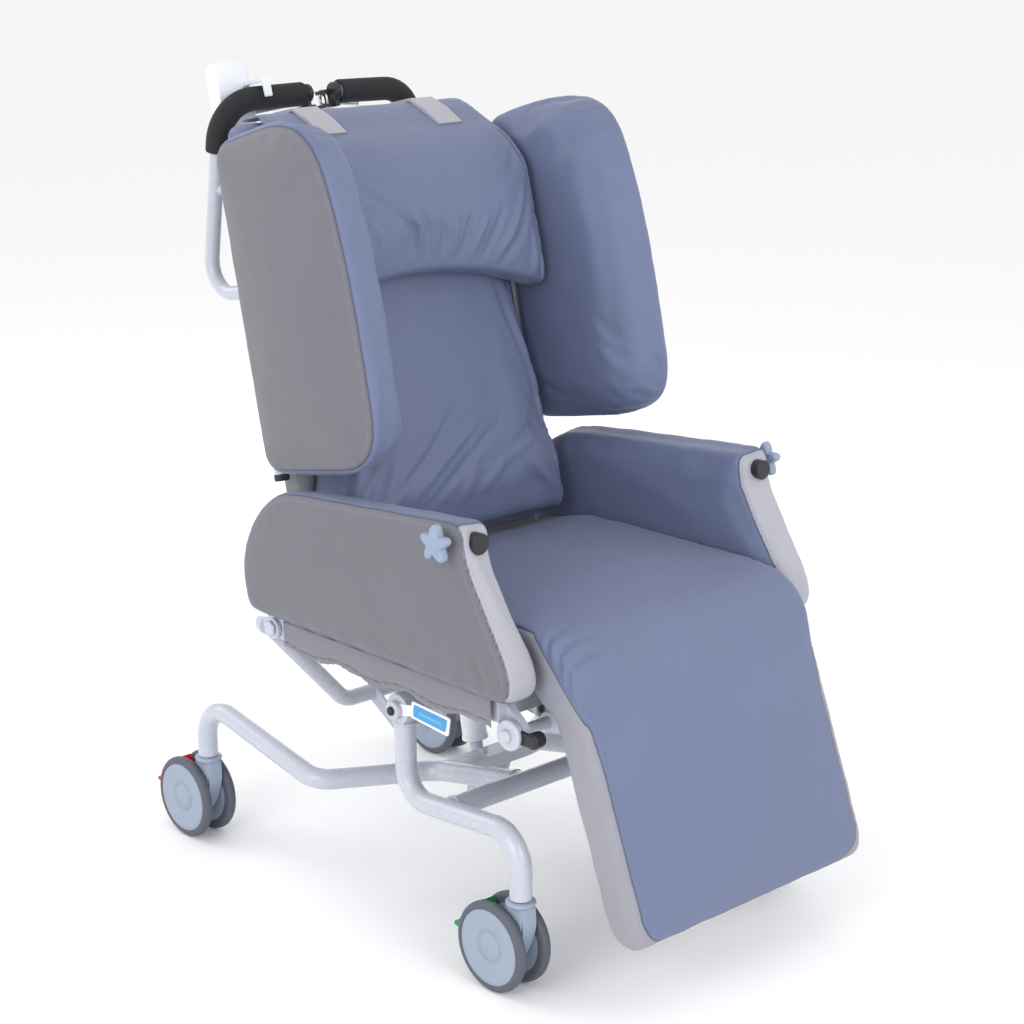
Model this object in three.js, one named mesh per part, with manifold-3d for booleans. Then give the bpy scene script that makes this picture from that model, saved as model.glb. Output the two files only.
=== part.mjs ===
// Mobile pressure-care chair with powered tilt, recline and legrest.
// Millimetres, +Z up. The chair faces -Y and the occupant's left is +X.
// The origin is on the floor, at the middle of the chair's bounding box.
import * as THREE from "three";
import { mergeVertices } from "three/addons/utils/BufferGeometryUtils.js";
import Module from "manifold-3d";

const wasm = await Module();
wasm.setup();

// ---- driving dimensions -------------------------------------------------------------------
const GAP = 0.4; // between pieces that touch
const FRAME_SHIFT = 43.7; // moves the chair along Y so that its bounding box is centred

const WHEEL_RADIUS = 62.5;
const STEM_X = 248; // caster stems
const STEM_Y = 345;
const STEM_Z = 135; // lower end of the base tubes
const TRAIL = 32; // axle behind the stem

const BASE_TUBE = 15; // tube radii
const YOKE_TUBE = 12.5;
const HANDLE_TUBE = 11;
const GRIP_FOAM = 17.5;

const POST_X = 236;
const TILT = { y: -103, z: 331 }; // axis of the seat tilt
const RECLINE = { y: 149, z: 389 }; // axis of the back
const KNEE = { y: -335, z: 362 }; // axis of the legrest
const PIN = 8; // radius of the hinge pins
const BORE = PIN + 0.5;

const RAIL = { inner: 232, outer: 262, bottom: 374, top: 404 };
const SEAT_HALF = 229; // half width of the cushion
const SEAT_BOTTOM = 412.2;
const SEAT_TOP = 505;
const SEAT_FRONT = -330;
const ARM = { inner: 233, outer: 300 };

const BACK_ANGLE = THREE.MathUtils.degToRad(13);
const BACK_ORIGIN = { y: 163, z: 500 }; // on the rear face of the back shell
const BACK = { half: 214, thick: 45, bottom: -63, top: 592 };
const WING_ROD = { x: 242, n: -37, r: 9.5 };
const WING = { inner: 204, outer: 297, rear: -54, front: -316, bottom: 108, top: 577 };

const LEG_ANGLE = THREE.MathUtils.degToRad(21);
const LEG_HALF = 228;

// Actuators: x of the centreline, housing pin, rod pin and the rod eye's offset from it.
// Along the line from pin to eye: the outer tube, the rod's upper end, and its way further in.
const RECLINE_DRIVE = {
  x: 0,
  top: [253, 491],
  pin: [165, 175],
  eye: [-2.21, 0.47],
  bore: 7.6,
  tube: [95, 200],
  rod: 150,
  inward: 70,
};
const TILT_DRIVE = {
  x: 12,
  top: [62, 352],
  pin: [11, 96],
  eye: [0.98, 0.13],
  bore: 8.2,
  tube: [85, 175],
  rod: 100,
  inward: 60,
};
const LEG_DRIVE = {
  x: -80,
  top: [-20, 345],
  pin: [-308.5, 319.6],
  eye: [-0.05, -3.93],
  bore: 9.1,
  tube: [80, 200],
  rod: 112,
  inward: 4,
};
const DRIVE_PIN = 4;
const DRIVE_ROD = 10;
const EYE = { wall: 5, half: 10 };
const FORK = { inner: 21, outer: 26, radius: 12 };

// ---- materials ----------------------------------------------------------------------------
const material = (color, roughness, metalness = 0) =>
  new THREE.MeshStandardMaterial({ color, roughness, metalness });
const whiteSteel = material(0xdcdde2, 0.35, 0.1);
const chrome = material(0xc8c8cc, 0.15, 1);
const blueVinyl = material(0x5f6b8a, 0.55);
const greyVinyl = material(0x8d8a8f, 0.6);
const blackPlastic = material(0x17181a, 0.5);
const palePlastic = material(0xb9c1cc, 0.45);
const whitePlastic = material(0xe6e8ec, 0.4);
const redPlastic = material(0xc21d20, 0.4);
const greenPlastic = material(0x138a4a, 0.4);
const foam = material(0x1b1c20, 0.9);

// ---- solids -------------------------------------------------------------------------------
function solid(geometry) {
  const plain = geometry.clone();
  plain.deleteAttribute("normal");
  plain.deleteAttribute("uv");
  const merged = mergeVertices(plain, 1e-4);
  return new wasm.Manifold(
    new wasm.Mesh({
      numProp: 3,
      vertProperties: new Float32Array(merged.attributes.position.array),
      triVerts: new Uint32Array(merged.index.array),
    }),
  );
}

function geometryOf(manifold) {
  const mesh = manifold.getMesh();
  const geometry = new THREE.BufferGeometry();
  geometry.setAttribute("position", new THREE.BufferAttribute(mesh.vertProperties, 3));
  geometry.setIndex(new THREE.BufferAttribute(mesh.triVerts, 1));
  return geometry;
}

const join = (...parts) => geometryOf(parts.map(solid).reduce((a, b) => a.add(b)));
const cut = (body, ...tools) =>
  geometryOf(tools.map(solid).reduce((a, b) => a.subtract(b), solid(body)));

// A box between two values on each axis, in either order.
function block([x0, x1], [y0, y1], [z0, z1]) {
  const size = [x1 - x0, y1 - y0, z1 - z0].map(Math.abs);
  return new THREE.BoxGeometry(...size).translate((x0 + x1) / 2, (y0 + y1) / 2, (z0 + z1) / 2);
}

// A round bar from one point to another.
function bar(from, to, radius, sides = 12, endRadius = radius) {
  const a = new THREE.Vector3(...from);
  const along = new THREE.Vector3(...to).sub(a);
  const length = along.length();
  const turn = new THREE.Quaternion().setFromUnitVectors(
    new THREE.Vector3(0, 1, 0),
    along.normalize(),
  );
  return new THREE.CylinderGeometry(endRadius, radius, length, sides)
    .translate(0, length / 2, 0)
    .applyQuaternion(turn)
    .translate(a.x, a.y, a.z);
}

// An outline through corners [a, b, radius], each rounded by its radius.
function outline(corners, Kind = THREE.Shape) {
  const shape = new Kind();
  corners.forEach(([a, b, radius = 0], i) => {
    const here = new THREE.Vector2(a, b);
    const before = new THREE.Vector2(...corners.at(i - 1).slice(0, 2)).sub(here);
    const after = new THREE.Vector2(...corners[(i + 1) % corners.length].slice(0, 2)).sub(here);
    const start = before.setLength(Math.min(radius, 0.47 * before.length())).add(here);
    const end = after.setLength(Math.min(radius, 0.47 * after.length())).add(here);
    if (i === 0) shape.moveTo(start.x, start.y);
    else shape.lineTo(start.x, start.y);
    if (radius > 0) shape.quadraticCurveTo(here.x, here.y, end.x, end.y);
  });
  shape.closePath();
  return shape;
}

// A Y-Z outline thickened along X between x0 and x1, its edges rounded by round.
function slab(shape, [x0, x1], { round = 0, steps = 3, curve = 5 } = {}) {
  const low = Math.min(x0, x1);
  const depth = Math.abs(x1 - x0) - 2 * round;
  return new THREE.ExtrudeGeometry(shape, {
    depth,
    curveSegments: curve,
    bevelEnabled: round > 0,
    bevelThickness: round,
    bevelSize: round,
    bevelOffset: -round,
    bevelSegments: steps,
  })
    .applyMatrix4(
      new THREE.Matrix4().makeBasis(
        new THREE.Vector3(0, 1, 0),
        new THREE.Vector3(0, 0, 1),
        new THREE.Vector3(1, 0, 0),
      ),
    )
    .translate(low + round, 0, 0);
}

const disc = (y, z, radius) => {
  const shape = new THREE.Shape();
  shape.absarc(y, z, radius, 0, 2 * Math.PI);
  return shape;
};

// The convex plate outline round two circles in the Y-Z plane.
function link([y0, z0, r0], [y1, z1, r1], count = 6) {
  const angle = Math.atan2(z1 - z0, y1 - y0);
  const points = [];
  for (const [y, z, r, start] of [
    [y0, z0, r0, angle + Math.PI / 2],
    [y1, z1, r1, angle - Math.PI / 2],
  ])
    for (let i = 0; i <= count; i++) {
      const turn = start + (Math.PI * i) / count;
      points.push(new THREE.Vector2(y + r * Math.cos(turn), z + r * Math.sin(turn)));
    }
  return new THREE.Shape(points);
}

// A tube's centreline: straight runs whose corners [x, y, z, radius] are bent to arcs.
class Route extends THREE.Curve {
  constructor(corners, arcSteps = 5) {
    super();
    this.stations = [];
    this.tangents = [];
    const points = corners.map(([x, y, z]) => new THREE.Vector3(x, y, z));
    points.forEach((point, i) => {
      const into = point.clone().sub(points[Math.max(i - 1, 0)]).normalize();
      const out = points[Math.min(i + 1, points.length - 1)].clone().sub(point).normalize();
      if (i === 0 || i === points.length - 1) {
        this.stations.push(point.clone());
        this.tangents.push(i === 0 ? out : into);
        return;
      }
      const turn = into.angleTo(out);
      const radius = corners[i][3];
      const start = point.clone().addScaledVector(into, -radius * Math.tan(turn / 2));
      const side = out.clone().addScaledVector(into, -out.dot(into)).normalize();
      for (let step = 0; step <= arcSteps; step++) {
        const t = (turn * step) / arcSteps;
        this.stations.push(
          start
            .clone()
            .addScaledVector(into, radius * Math.sin(t))
            .addScaledVector(side, radius * (1 - Math.cos(t))),
        );
        this.tangents.push(
          into.clone().multiplyScalar(Math.cos(t)).addScaledVector(side, Math.sin(t)),
        );
      }
    });
    this.last = this.stations.length - 1;
  }
  getPointAt(u) {
    return this.stations[Math.round(u * this.last)].clone();
  }
  getTangentAt(u) {
    return this.tangents[Math.round(u * this.last)].clone();
  }
}

function ring(radius, sides, Kind = THREE.Shape) {
  const points = [];
  for (let i = 0; i < sides; i++) {
    const turn = (2 * Math.PI * i) / sides;
    points.push(new THREE.Vector2(radius * Math.cos(turn), radius * Math.sin(turn)));
  }
  return new Kind(points);
}

function tube(corners, radius, { sides = 10, hollow = 0, arcSteps = 5 } = {}) {
  const section = ring(radius, sides);
  if (hollow) section.holes.push(ring(hollow, sides, THREE.Path));
  const route = new Route(corners, arcSteps);
  return new THREE.ExtrudeGeometry(section, { extrudePath: route, steps: route.last });
}

// ---- scene graph --------------------------------------------------------------------------
const chair = new THREE.Group();
chair.position.y = FRAME_SHIFT;
const back = new THREE.Group(); // x across, y out of the rear face, z up along the back
back.position.set(0, BACK_ORIGIN.y, BACK_ORIGIN.z);
back.rotation.x = -BACK_ANGLE;
chair.add(back);
const object = new THREE.Group();
object.add(chair);

function piece(name, geometry, finish, parent = chair) {
  const mesh = new THREE.Mesh(geometry, finish);
  mesh.name = name;
  parent.add(mesh);
  return mesh;
}

const SIDES = [
  ["left", 1],
  ["right", -1],
];
const across = (side, a, b) => [side * a, side * b];
// A point [y, z] of the chair in the back's own directions.
function onBack([y, z]) {
  const dy = y - BACK_ORIGIN.y;
  const dz = z - BACK_ORIGIN.z;
  const c = Math.cos(BACK_ANGLE);
  const s = Math.sin(BACK_ANGLE);
  return [dy * c - dz * s, dy * s + dz * c];
}

// ---- base ---------------------------------------------------------------------------------
function frontLeg(side) {
  return tube(
    [
      [side * POST_X, TILT.y, TILT.z - 15],
      [side * POST_X, TILT.y - 2, 200, 42],
      [side * (STEM_X - 1), -STEM_Y, 224, 48],
      [side * STEM_X, -STEM_Y, STEM_Z],
    ],
    BASE_TUBE,
  );
}

function rearLeg(side) {
  return tube(
    [
      [side * 92, -185, 205],
      [side * 90, -2, 168, 38],
      [side * 247, 84, 170, 42],
      [side * 250, STEM_Y - 2, 226, 50],
      [side * STEM_X, STEM_Y, STEM_Z],
    ],
    BASE_TUBE,
  );
}

// Two fork plates round a drive's pin, each a plate outline, joined by the pin itself.
function fork(drive, shape, pinAt = drive.pin, [inner, outer] = [FORK.inner, FORK.outer]) {
  const [y, z] = pinAt;
  return [
    slab(shape, [drive.x + inner, drive.x + outer]),
    slab(shape, [drive.x - outer, drive.x - inner]),
    bar([drive.x - outer + 1, y, z], [drive.x + outer - 1, y, z], DRIVE_PIN, 10),
  ];
}

function baseFrame() {
  const parts = [
    bar([-POST_X, -185, 205], [POST_X, -185, 205], BASE_TUBE, 12),
    block([-92, 92], [-30, 2], [158, 178]),
    ...fork(TILT_DRIVE, link([...TILT_DRIVE.pin, FORK.radius], [-12, 168, 14])),
  ];
  for (const [, side] of SIDES) {
    parts.push(frontLeg(side), rearLeg(side));
    parts.push(
      bar([side * (POST_X - 15), TILT.y, TILT.z], [side * (POST_X + 15), TILT.y, TILT.z], 22, 16),
    );
  }
  const bores = SIDES.map(([, side]) =>
    bar([side * (POST_X - 20), TILT.y, TILT.z], [side * (POST_X + 20), TILT.y, TILT.z], BORE, 16),
  );
  return cut(join(...parts), ...bores);
}
piece("base_frame", baseFrame(), whiteSteel);

// ---- casters ------------------------------------------------------------------------------
function casterHousing() {
  const shape = outline([
    [-17, 128, 4],
    [-19, 92, 20],
    [4, 48, 16],
    [30, 30, 18],
    [60, 52, 20],
    [56, 86, 20],
    [18, 112, 14],
    [17, 128, 4],
  ]);
  const collar = bar([0, 0, 2 * WHEEL_RADIUS + 1.5], [0, 0, STEM_Z - 1], 20, 20);
  return cut(
    join(slab(shape, [-12, 12]), collar),
    bar([-20, TRAIL, WHEEL_RADIUS], [20, TRAIL, WHEEL_RADIUS], 6.5, 12),
  );
}

function wheelPair() {
  const half = [
    [14, 6],
    [14, 59],
    [17, 62.5],
    [26, 62.5],
    [29.5, 59],
    [29.5, 48],
    [28, 46],
    [28, 0],
  ];
  const profile = [
    ...half.map(([x, r]) => new THREE.Vector2(r, x)).reverse(),
    ...half.map(([x, r]) => new THREE.Vector2(r, -x)),
  ];
  const lathe = new THREE.LatheGeometry(profile.reverse(), 28);
  const wheels = lathe.rotateZ(-Math.PI / 2).rotateX(Math.PI / 2);
  return wheels.translate(0, TRAIL, WHEEL_RADIUS);
}

// A pedal between the wheels: a sector behind the axle and a tread bar across both tyres.
function pedal() {
  const shape = new THREE.Shape();
  const [low, high] = [0, THREE.MathUtils.degToRad(62)];
  shape.absarc(TRAIL, WHEEL_RADIUS, 61, low, high);
  shape.absarc(TRAIL, WHEEL_RADIUS, 37, high, low, true);
  shape.closePath();
  const tread = block([-22, 22], [TRAIL + 65, TRAIL + 75], [WHEEL_RADIUS + 5, WHEEL_RADIUS + 12]);
  const neck = block([-11, 11], [TRAIL + 56, TRAIL + 70], [WHEEL_RADIUS + 4, WHEEL_RADIUS + 12]);
  return join(slab(shape, [-11.4, 11.4], { curve: 6 }), neck, tread);
}

for (const [end, y] of [
  ["front", -STEM_Y],
  ["rear", STEM_Y],
])
  for (const [name, side] of SIDES) {
    const caster = new THREE.Group();
    caster.position.set(side * STEM_X, y, 0);
    chair.add(caster);
    const directionLock = end === "front" && name === "right";
    piece(`caster_housing_${end}_${name}`, casterHousing(), palePlastic, caster);
    piece(`caster_wheels_${end}_${name}`, wheelPair(), palePlastic, caster);
    const pedalFinish = directionLock ? greenPlastic : redPlastic;
    piece(`caster_pedal_${end}_${name}`, pedal(), pedalFinish, caster);
  }

// ---- seat ---------------------------------------------------------------------------------
function seatFrame() {
  const [low, high] = [RAIL.bottom + 2, RAIL.top - 2];
  const parts = [
    ...[-300, TILT.y, -20, 107].map((y) => block([-240, 240], [y - 12, y + 12], [low, high])),
    ...fork(TILT_DRIVE, link([...TILT_DRIVE.top, FORK.radius], [103, 386, 12]), TILT_DRIVE.top),
    ...fork(LEG_DRIVE, link([...LEG_DRIVE.top, FORK.radius], [-20, 386, 12]), LEG_DRIVE.top),
  ];
  for (const [, side] of SIDES) {
    parts.push(block(across(side, RAIL.inner, RAIL.outer), [-318, 165], [RAIL.bottom, RAIL.top]));
    parts.push(slab(link([KNEE.y, KNEE.z, 19], [-308, 386, 16]), across(side, 238, 250)));
    parts.push(slab(link([TILT.y, TILT.z, 19], [TILT.y, 388, 14]), across(side, 206, 218)));
    parts.push(bar([side * 210, TILT.y, TILT.z], [side * 256, TILT.y, TILT.z], PIN, 14));
    parts.push(bar([side * 252, TILT.y, TILT.z], [side * 260, TILT.y, TILT.z], 13, 14));
  }
  const bores = [RECLINE, KNEE].map((axis) =>
    bar([-270, axis.y, axis.z], [270, axis.y, axis.z], BORE, 16),
  );
  return cut(join(...parts), ...bores);
}
piece("seat_frame", seatFrame(), whiteSteel);

function seatPan() {
  const edge = 274;
  const skirt = 3.5;
  const span = [-318, 118];
  return join(
    block([-edge, edge], span, [RAIL.top + GAP, SEAT_BOTTOM - GAP]),
    block([edge - skirt, edge], span, [366, SEAT_BOTTOM - GAP]),
    block([-edge, skirt - edge], span, [366, SEAT_BOTTOM - GAP]),
  );
}
piece("seat_pan", seatPan(), greyVinyl);

function yokeTube() {
  const bottom = { x: 78, y: 225, z: 212 };
  const parts = [
    tube(
      [
        [-266, RECLINE.y + 4, RECLINE.z],
        [-245, 192, 381, 22],
        [-bottom.x, bottom.y, bottom.z, 40],
        [bottom.x, bottom.y, bottom.z, 40],
        [245, 192, 381, 22],
        [266, RECLINE.y + 4, RECLINE.z],
      ],
      YOKE_TUBE,
    ),
    ...fork(RECLINE_DRIVE, link([...RECLINE_DRIVE.pin, FORK.radius], [bottom.y, bottom.z, 12])),
  ];
  const shoe = link([RECLINE.y, RECLINE.z, 16], [RECLINE.y + 24, RECLINE.z - 1, 12]);
  for (const [, side] of SIDES) parts.push(slab(shoe, across(side, RAIL.outer + GAP, 269)));
  const clear = SIDES.map(([, side]) =>
    block(across(side, 200, RAIL.outer + GAP), [100, 165.4], [360, 410]),
  );
  const bore = bar([-275, RECLINE.y, RECLINE.z], [275, RECLINE.y, RECLINE.z], BORE, 16);
  const outside = SIDES.map(([, side]) => block(across(side, 269, 290), [120, 200], [360, 410]));
  return cut(join(...parts), bore, ...clear, ...outside);
}
piece("yoke_tube", yokeTube(), whiteSteel);

const seatSide = outline([
  [SEAT_FRONT, SEAT_BOTTOM, 18],
  [105, SEAT_BOTTOM, 18],
  [105, 460, 18],
  [24, 460, 4],
  [4, SEAT_TOP - 2, 24],
  [SEAT_FRONT, SEAT_TOP, 18],
]);
piece("seat_cushion", slab(seatSide, [-SEAT_HALF, SEAT_HALF], { round: 12, curve: 3 }), blueVinyl);

const kneeSide = outline([
  [SEAT_FRONT - GAP, 404, 14],
  [SEAT_FRONT - GAP, SEAT_TOP, 14],
  [-372, SEAT_TOP - 2, 24],
  [-430, 468, 30],
  [-447, 412, 18],
  [-352, 386, 16],
]);
piece("knee_cushion", slab(kneeSide, [-LEG_HALF, LEG_HALF], { round: 9, curve: 3 }), blueVinyl);

const armSide = outline([
  [-370, SEAT_BOTTOM, 24],
  [174, SEAT_BOTTOM, 22],
  [190, 476, 40],
  [162, 556, 50],
  [98, 612, 50],
  [-284, 644, 22],
  [-291, 590, 30],
  [-335, 520, 50],
  [-377, 455, 36],
]);
const SOCKET = { x: 270, z: 609, front: -296, radius: 14 };
const STAR = { y: -260, z: 611 };
function armrest(side) {
  const body = slab(armSide, across(side, ARM.inner, ARM.outer), { round: 13, curve: 4 });
  const pocket = bar(
    [side * SOCKET.x, -240, SOCKET.z],
    [side * SOCKET.x, -420, SOCKET.z],
    SOCKET.radius + GAP,
    20,
  );
  return cut(body, pocket);
}

function starKnob(side) {
  const points = [];
  const count = 40;
  for (let i = 0; i < count; i++) {
    const turn = (2 * Math.PI * i) / count;
    const radius = 20 + 6 * Math.cos(5 * turn);
    const [y, z] = [radius * Math.sin(turn), radius * Math.cos(turn)];
    points.push(new THREE.Vector2(STAR.y + y, STAR.z + z));
  }
  const stem = bar([side * (ARM.outer + GAP), STAR.y, STAR.z], [side * 312, STAR.y, STAR.z], 7, 12);
  return join(slab(new THREE.Shape(points), across(side, 308, 322)), stem);
}

for (const [name, side] of SIDES) {
  piece(`armrest_${name}`, armrest(side), greyVinyl);
  piece(
    `tray_socket_${name}`,
    bar(
      [side * SOCKET.x, -242, SOCKET.z],
      [side * SOCKET.x, SOCKET.front, SOCKET.z],
      SOCKET.radius,
      20,
    ),
    blackPlastic,
  );
  piece(`arm_knob_${name}`, starKnob(side), palePlastic);
}

// ---- legrest ------------------------------------------------------------------------------
const leg = new THREE.Group(); // y square to the board and rearward, z up along it
leg.position.set(0, KNEE.y, KNEE.z);
leg.rotation.x = -LEG_ANGLE;
chair.add(leg);

function legrestFrame() {
  const behind = [-44, -26]; // the frame lies behind the cushion
  const parts = [
    bar([-252, 0, 0], [252, 0, 0], PIN, 14),
    block([-194, 194], behind, [-285, -269]),
  ];
  for (const [, side] of SIDES) {
    parts.push(block(across(side, 178, 194), behind, [-285, 6]));
    parts.push(slab(link([0, 0, 14], [-31, -8, 12]), across(side, 180, 192)));
    parts.push(bar([side * 251, 0, 0], [side * 264, 0, 0], 20, 20));
    parts.push(bar([side * 262, 0, 0], [side * 270, 0, 0], 9, 12));
    parts.push(slab(link([0, 0, 12], [-34, -13, 9]), across(side, 252, 257)));
    parts.push(bar([side * 236, -34, -13], [side * 256, -34, -13], 11, 14));
  }
  const dy = LEG_DRIVE.pin[0] - KNEE.y;
  const dz = LEG_DRIVE.pin[1] - KNEE.z;
  const c = Math.cos(LEG_ANGLE);
  const s = Math.sin(LEG_ANGLE);
  const pin = [dy * c - dz * s, dy * s + dz * c];
  parts.push(...fork(LEG_DRIVE, link([...pin, 11], [0, 0, 14]), pin, [12, 17]));
  return join(...parts);
}
piece("legrest_frame", legrestFrame(), whiteSteel, leg);

const legSide = outline([
  [-45, 4, 18],
  [-45, -272, 18],
  [-58, -302, 18],
  [-98, -312, 26],
  [-114, -276, 30],
  [-114, 4, 18],
]);
piece(
  "legrest_cushion",
  slab(legSide, [-LEG_HALF, LEG_HALF], { round: 11, curve: 3 }),
  blueVinyl,
  leg,
);

// ---- back ---------------------------------------------------------------------------------
const recline = onBack([RECLINE.y, RECLINE.z]);
const reclineTop = onBack(RECLINE_DRIVE.top);
const BOX = { x0: -42, x1: 82, bottom: 58, top: 377, depth: 50, panel: 14 };

// The back's outline seen from behind, thickened through it.
function backBoard() {
  const face = outline([
    [BACK.half, BACK.bottom, 14],
    [BACK.half, BACK.top, 40],
    [-BACK.half, BACK.top, 40],
    [-BACK.half, BACK.bottom, 14],
  ]);
  return new THREE.ExtrudeGeometry(face, {
    depth: BACK.thick,
    bevelEnabled: false,
    curveSegments: 5,
  }).rotateX(Math.PI / 2);
}

// A flat bracket from the shell's edge to a wing rod, with a round end about the rod.
function wingBracket(side, v) {
  const [x, n] = [side * WING_ROD.x, WING_ROD.n];
  return [
    block([side * (BACK.half - 12), x], [n - 15, -12], [v - 4, v + 4]),
    bar([x, n, v - 4], [x, n, v + 4], 15, 20),
  ];
}

function backShell() {
  const parts = [
    backBoard(),
    ...fork(
      RECLINE_DRIVE,
      outline([
        [-10, reclineTop[1] - 12],
        [-10, 52],
        [14, 52, 6],
        [reclineTop[0] + 4, reclineTop[1] + 13, 12],
        [reclineTop[0] + 13, reclineTop[1] - 3, 10],
        [reclineTop[0], reclineTop[1] - 12, 8],
      ]),
      reclineTop,
    ),
  ];
  for (const [, side] of SIDES) {
    parts.push(...wingBracket(side, 147), ...wingBracket(side, 489));
    parts.push(slab(link([...recline, 16], [-24, BACK.bottom + 8, 16]), across(side, 198, 210)));
    parts.push(bar([side * 200, ...recline], [side * 274, ...recline], PIN, 14));
  }
  const holes = SIDES.map(([, side]) =>
    bar([side * WING_ROD.x, WING_ROD.n, 0], [side * WING_ROD.x, WING_ROD.n, 560], 10, 14),
  );
  return cut(join(...parts), ...holes);
}
piece("back_shell", backShell(), greyVinyl, back);

const backSide = outline([
  [-46.5, -38, 19],
  [-46.5, 558, 19],
  [-86, 546, 20],
  [-116, 490, 40],
  [-118, 300, 90],
  [-149, 130, 90],
  [-150, -38, 30],
]);
piece("back_cushion", slab(backSide, [-197, 197], { round: 9, curve: 3 }), blueVinyl, back);

function headPillow() {
  const side = outline([
    [-122.5, 322, 8],
    [-122.5, 442, 12],
    [-116, 508, 12],
    [-95, 540, 8],
    [-67, 562, 8],
    [-52, 580, 4],
    [-47, 596, 4],
    [-6, 596],
    [-6, 604, 3],
    [-48, 604, 12],
    [-80, 584, 16],
    [-106, 562, 16],
    [-146, 540, 24],
    [-182, 500, 30],
    [-190, 420, 40],
    [-185, 322, 20],
  ]);
  const straps = SIDES.flatMap(([, sign]) => [
    block(across(sign, 86, 131), [-9, 3.6], [598, 603]),
    block(across(sign, 86, 131), [0.5, 3.6], [388, 603]),
  ]);
  return join(slab(side, [-192, 192], { round: 2, steps: 2, curve: 4 }), ...straps);
}
piece("head_pillow", headPillow(), blueVinyl, back);

// Push handles: the tube's route in the back's directions, as [x, out of the back, up it].
const HANDLE = { x: 180, low: 360, inner: 22, top: 634, topOut: 47 };
const HANDLE_BEND = { out: 150, up: 368 };
const GRIP_START = 566; // how far up the back the foam begins
const LEVER = { x: 16, out: 63, low: 620, high: 634 };
function handleCorners(side) {
  return [
    [side * HANDLE.x, 1.2, HANDLE.low],
    [side * HANDLE.x, HANDLE_BEND.out, HANDLE_BEND.up, 42],
    [side * HANDLE.x, HANDLE.topOut, HANDLE.top, 58],
    [side * HANDLE.inner, HANDLE.topOut - 2, HANDLE.top + 2],
  ];
}

function handleTube(side) {
  return join(
    tube(handleCorners(side), HANDLE_TUBE),
    bar([side * HANDLE.x, 93, 515], [side * 143, 3.8, 508], 8.5, 10),
    bar([side * HANDLE.inner, 45, 636], [side * 30, 45, 636], 14, 12),
    // the lever's ears
    block(across(side, 23, 30), [40, 58], [614, 640]),
    block(across(side, 9, 30), [44, 70], [614, LEVER.low - GAP]),
    block(across(side, 9, 30), [44, 70], [LEVER.high + GAP, 640]),
  );
}

function gripFoam(side) {
  const corners = handleCorners(side).slice(1);
  const slope = (HANDLE_BEND.out - HANDLE.topOut) / (HANDLE.top - HANDLE_BEND.up);
  const out = HANDLE.topOut + (HANDLE.top - GRIP_START) * slope;
  corners[0] = [side * HANDLE.x, out, GRIP_START];
  corners[2] = [side * (HANDLE.inner + 11), HANDLE.topOut - 1.9, HANDLE.top + 1.9];
  return tube(corners, GRIP_FOAM, { sides: 12, hollow: HANDLE_TUBE + 0.8 });
}

// A hand lever hung behind the grip's inner end.
function handLever(side) {
  const blade = [
    [side * LEVER.x, LEVER.out, 627],
    [side * 40, 76, 626, 18],
    [side * 98, 82, 622],
  ];
  return join(
    tube(blade, 4.5, { sides: 8, arcSteps: 3 }),
    bar([side * LEVER.x, LEVER.out, LEVER.low], [side * LEVER.x, LEVER.out, LEVER.high], 6, 10),
  );
}

for (const [name, side] of SIDES) {
  piece(`push_handle_${name}`, handleTube(side), whiteSteel, back);
  piece(`foam_grip_${name}`, gripFoam(side), foam, back);
  piece(`hand_lever_${name}`, handLever(side), chrome, back);
}

// ---- wings --------------------------------------------------------------------------------
function wingFrame(side) {
  const { x, n, r } = WING_ROD;
  const parts = [
    bar([side * x, n, 105], [side * x, n, 541], r, 14),
    bar([side * x, n, 95], [side * x, n, 105], 11, 14),
    bar([side * x, n, 540], [side * x, n, 563], 11, 14),
  ];
  for (const v of [215, 420])
    parts.push(block([side * (x - 17), side * (x + 17)], [WING.rear + GAP, n - 8], [v - 30, v + 30]));
  return join(...parts);
}

const wingSide = outline([
  [WING.rear, WING.bottom + 12, 34],
  [WING.rear, WING.top - 8, 34],
  [WING.front + 30, WING.top + 10, 90],
  [WING.front, 400, 120],
  [WING.front, WING.bottom, 100],
]);
for (const [name, side] of SIDES) {
  piece(`wing_frame_${name}`, wingFrame(side), whiteSteel, back);
  piece(
    `wing_cushion_${name}`,
    slab(wingSide, across(side, WING.inner, WING.outer), { round: 26, curve: 5, steps: 4 }),
    greyVinyl,
    back,
  );
}

// ---- control box --------------------------------------------------------------------------
const STOP = { x: 24, v: 142 };
function boxRear() {
  const face = BOX.depth - BOX.panel - GAP;
  return join(
    block([BOX.x0 + 3, BOX.x1 - 3], [0.6, face], [BOX.bottom + 3, BOX.top + 4]),
    block([BOX.x0 + 20, BOX.x1 - 20], [8, 26], [BOX.top + 2, BOX.top + 16]),
    bar([62, 25, BOX.bottom - 14], [62, 25, BOX.bottom + 5], 5, 10, 7),
  );
}

function boxPanel() {
  const panel = block(
    [BOX.x0, BOX.x1],
    [BOX.depth - BOX.panel, BOX.depth],
    [BOX.bottom, BOX.top],
  );
  return cut(panel, bar([STOP.x, 20, STOP.v], [STOP.x, 70, STOP.v], 9, 16));
}
piece("control_box", boxRear(), blackPlastic, back);
piece("control_panel", boxPanel(), whitePlastic, back);
piece(
  "stop_button",
  join(
    bar([STOP.x, 42, STOP.v], [STOP.x, 57, STOP.v], 8, 16),
    bar([STOP.x, 56, STOP.v], [STOP.x, 68, STOP.v], 15, 18, 12),
  ),
  redPlastic,
  back,
);

// ---- handset ------------------------------------------------------------------------------
const handset = new THREE.Group();
handset.position.set(-131, 85, 617);
handset.rotation.y = -THREE.MathUtils.degToRad(2);
back.add(handset);
const KEYS = { x: 12, rows: [58, 33, 8], radius: 7, travel: 1.2 };

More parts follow.
